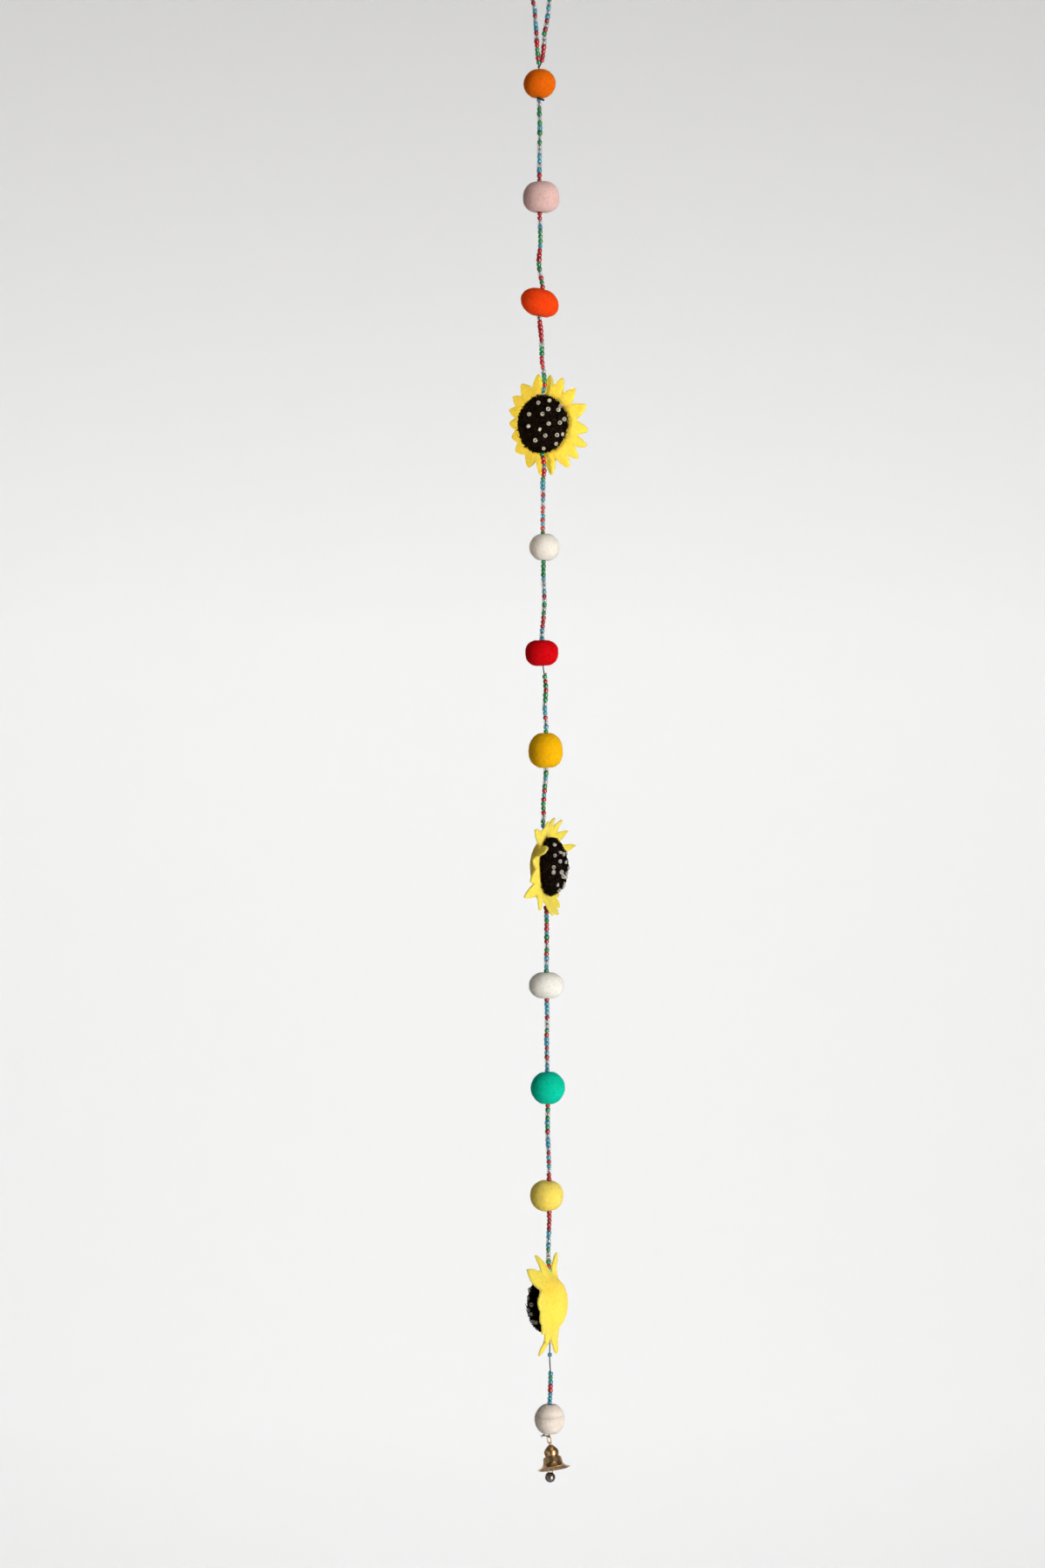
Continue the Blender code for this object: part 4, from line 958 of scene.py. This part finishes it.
bell = {"tilt": 8.8, "nod": 16.0, "linkLean": 12.0, "linkReach": 2.8, "wire": 0.42, "eye": 1.05,
        "eyeWire": 0.32, "pinDepth": 5.2, "pin": 0.4, "pinHalf": 4.15, "around": 112, "step": 0.24,
        "blur": 0.16, "swing": 11.0, "drop": 17.3, "clapperWire": 0.3, "clapperBend": 1.5, "clapperHang": 1.0,
        "bob": 3.45, "bobHalf": 3.5}
bellOutline = [  # depth down its axis, radius
    (0.75, 0), (0.75, 0.75), (1, 1.25), (1.4, 1.7), (2, 2.45), (2.9, 3.3), (3.6, 3.95), (4.4, 4.45),
    (5, 4.75), (5.6, 4.88), (6.4, 4.88), (7.3, 4.75), (7.9, 4.5), (8.5, 4.3), (8.75, 4.35), (9, 5.4),
    (9.3, 5.9), (9.8, 6.02), (11.4, 6.3), (12.6, 6.5), (13.3, 6.65), (13.6, 6.78), (14.6, 7.4),
    (15.4, 8.2), (16, 9.1), (16.45, 10.2), (16.7, 10.85), (16.86, 10.9), (16.96, 10.75), (16.93, 10.4),
    (16.2, 8.5), (14.9, 6.75), (13.2, 5.95), (9.5, 5.25), (8.8, 3.65), (7.5, 4.1), (5.8, 4.2),
    (4.6, 3.75), (3.7, 2.6), (2.3, 1), (2.2, 0),
]


def hangingAxes(tilt, nod=0.0):
    # directions down, across and back of something that hangs tilted to the right and nods to the front
    tilt, nod = radians(tilt), radians(nod)
    plumb, back = np.array([sin(tilt), 0.0, -cos(tilt)]), np.array([0.0, 1.0, 0.0])
    across = np.array([cos(tilt), 0.0, sin(tilt)])
    return cos(nod) * plumb - sin(nod) * back, across, cos(nod) * back + sin(nod) * plumb


def longLink(top, down, across, reach, bend, steps=16):
    # a wire link's closed line: two half circles joined by straight sides
    top = np.asarray(top, float)
    upper = arc(top, bend, 0, 180, steps, across, -down)
    lower = arc(top + reach * down, bend, 180, 360, steps, across, -down)
    sides = [np.linspace(upper[-1], lower[0], steps)[1:-1], np.linspace(lower[-1], upper[0], steps)[1:-1]]
    return np.vstack([upper, sides[0], lower, sides[1]])


def turnedRings(outline, origin, down, across, back, around):
    # an outline of depth and radius, turned about the way down
    turn = allRound(around)[None, :, None]
    depth, radius = outline[:, 0][:, None, None], outline[:, 1][:, None, None]
    return origin + depth * down + radius * (np.cos(turn) * across + np.sin(turn) * back)


def softOutline(outline, step, blur):
    # walks the outline in small steps and rounds its corners by averaging over a short stretch
    outline = np.asarray(outline, float)
    way = np.concatenate([[0], np.cumsum(np.hypot(*np.diff(outline, axis=0).T))])
    places = np.arange(step, way[-1] - step / 2, step)
    offsets = np.linspace(-1, 1, 9) * blur
    weights = np.exp(-(offsets / blur * 1.4) ** 2)
    weights /= weights.sum()
    spots = np.clip(places[:, None] + offsets, 0, way[-1])
    averages = [(np.interp(spots, way, outline[:, k]) * weights).sum(axis=1) for k in range(2)]
    return np.stack(averages, axis=1)


brassWorn = metalFinish("brassWorn", (0.80, 0.52, 0.26), (0.34, 0.19, 0.08), 0.22, 0.38, 900.0)
steelDark = metalFinish("steelDark", (0.46, 0.43, 0.42), (0.14, 0.125, 0.125), 0.16, 0.34, 700.0)

linkDown, linkAcross, _ = hangingAxes(bell["linkLean"])
linkLine = longLink(thread["linkTop"], linkDown, linkAcross, bell["linkReach"], thread["linkBend"])
makePiece("bellLink", [ringTube(linkLine, bell["wire"], 14)], [brassWorn], ["bell_link"], "link")

down, across, back = hangingAxes(bell["tilt"], bell["nod"])
hangPoint = (np.array(thread["linkTop"]) + bell["linkReach"] * linkDown
             + thread["linkBend"] * hangingAxes(bell["tilt"])[0])
outline = softOutline(bellOutline, bell["step"], bell["blur"])
bellShell = closedShell(turnedRings(outline, hangPoint, down, across, back, bell["around"]),
                        hangPoint + bellOutline[0][0] * down, hangPoint + bellOutline[-1][0] * down)
eyeLine = arc(hangPoint, bell["eye"], 0, 360, 40, across=-down, up=back)[:-1]
pinMiddle = hangPoint + bell["pinDepth"] * down
pinLine = np.linspace(pinMiddle - bell["pinHalf"] * back, pinMiddle + bell["pinHalf"] * back, 12)
eyeShell, pinShell = ringTube(eyeLine, bell["eyeWire"], 12), tube(pinLine, bell["pin"], 14)
makePiece("bellBody", [bellShell, eyeShell, pinShell], [brassWorn], ["bell"], "bell")

swing = radians(bell["swing"])
clapperDown = cos(swing) * down - sin(swing) * across
clapperAcross = cos(swing) * across + sin(swing) * down
clapperTop = pinMiddle + (bell["clapperBend"] - bell["clapperHang"]) * clapperDown
clapperLine = longLink(clapperTop, clapperDown, clapperAcross, bell["drop"] - bell["bobHalf"],
                       bell["clapperBend"], 24)
bobMiddle = pinMiddle + bell["drop"] * clapperDown
t = np.radians(np.linspace(4, 176, 48))
seam = 1 + 0.02 * np.exp(-((np.degrees(t) - 90) / 3.0) ** 2)  # a thin raised line around the bob
bobOutline = np.stack([-bell["bobHalf"] * np.cos(t), bell["bob"] * np.sin(t) * seam], axis=1)
bobShell = closedShell(turnedRings(bobOutline, bobMiddle, clapperDown, clapperAcross, back, 64),
                       bobMiddle - bell["bobHalf"] * clapperDown, bobMiddle + bell["bobHalf"] * clapperDown)
clapperShell = ringTube(clapperLine, bell["clapperWire"], 12)
makePiece("clapperBob", [clapperShell, bobShell], [steelDark], ["clapper"], "clapper")
print("bell hung")


# Round paper backdrop: a flat floor that bends up into a wall all round
rise = np.radians(np.linspace(0, 90, 24))
flat = np.linspace(0.0, room["radius"] - room["bend"], 16)[1:]
profile = np.vstack([np.stack([flat, np.full(len(flat), room["floor"])], axis=1),
                     np.stack([room["radius"] - room["bend"] + room["bend"] * np.sin(rise),
                               room["floor"] + room["bend"] * (1 - np.cos(rise))], axis=1)[1:],
                     [[room["radius"], room["top"]]]])
turn = allRound(160)
paper = np.stack([profile[:, :1] * np.cos(turn), profile[:, :1] * np.sin(turn),
                  np.broadcast_to(profile[:, 1:], (len(profile), len(turn)))], axis=-1) / mm
here = np.arange(len(turn))
paperPoints = np.vstack([paper.reshape(-1, 3), [[0, 0, room["floor"] / mm]]])
paperFans = np.stack([np.full(len(turn), len(paperPoints) - 1), here, (here + 1) % len(turn)], axis=1)
makePiece("backdrop", [(paperPoints, [gridQuads(len(profile), len(turn))[:, ::-1], paperFans])],
          [backdropFinish("backdropPaper")], body=None)
print("backdrop set")
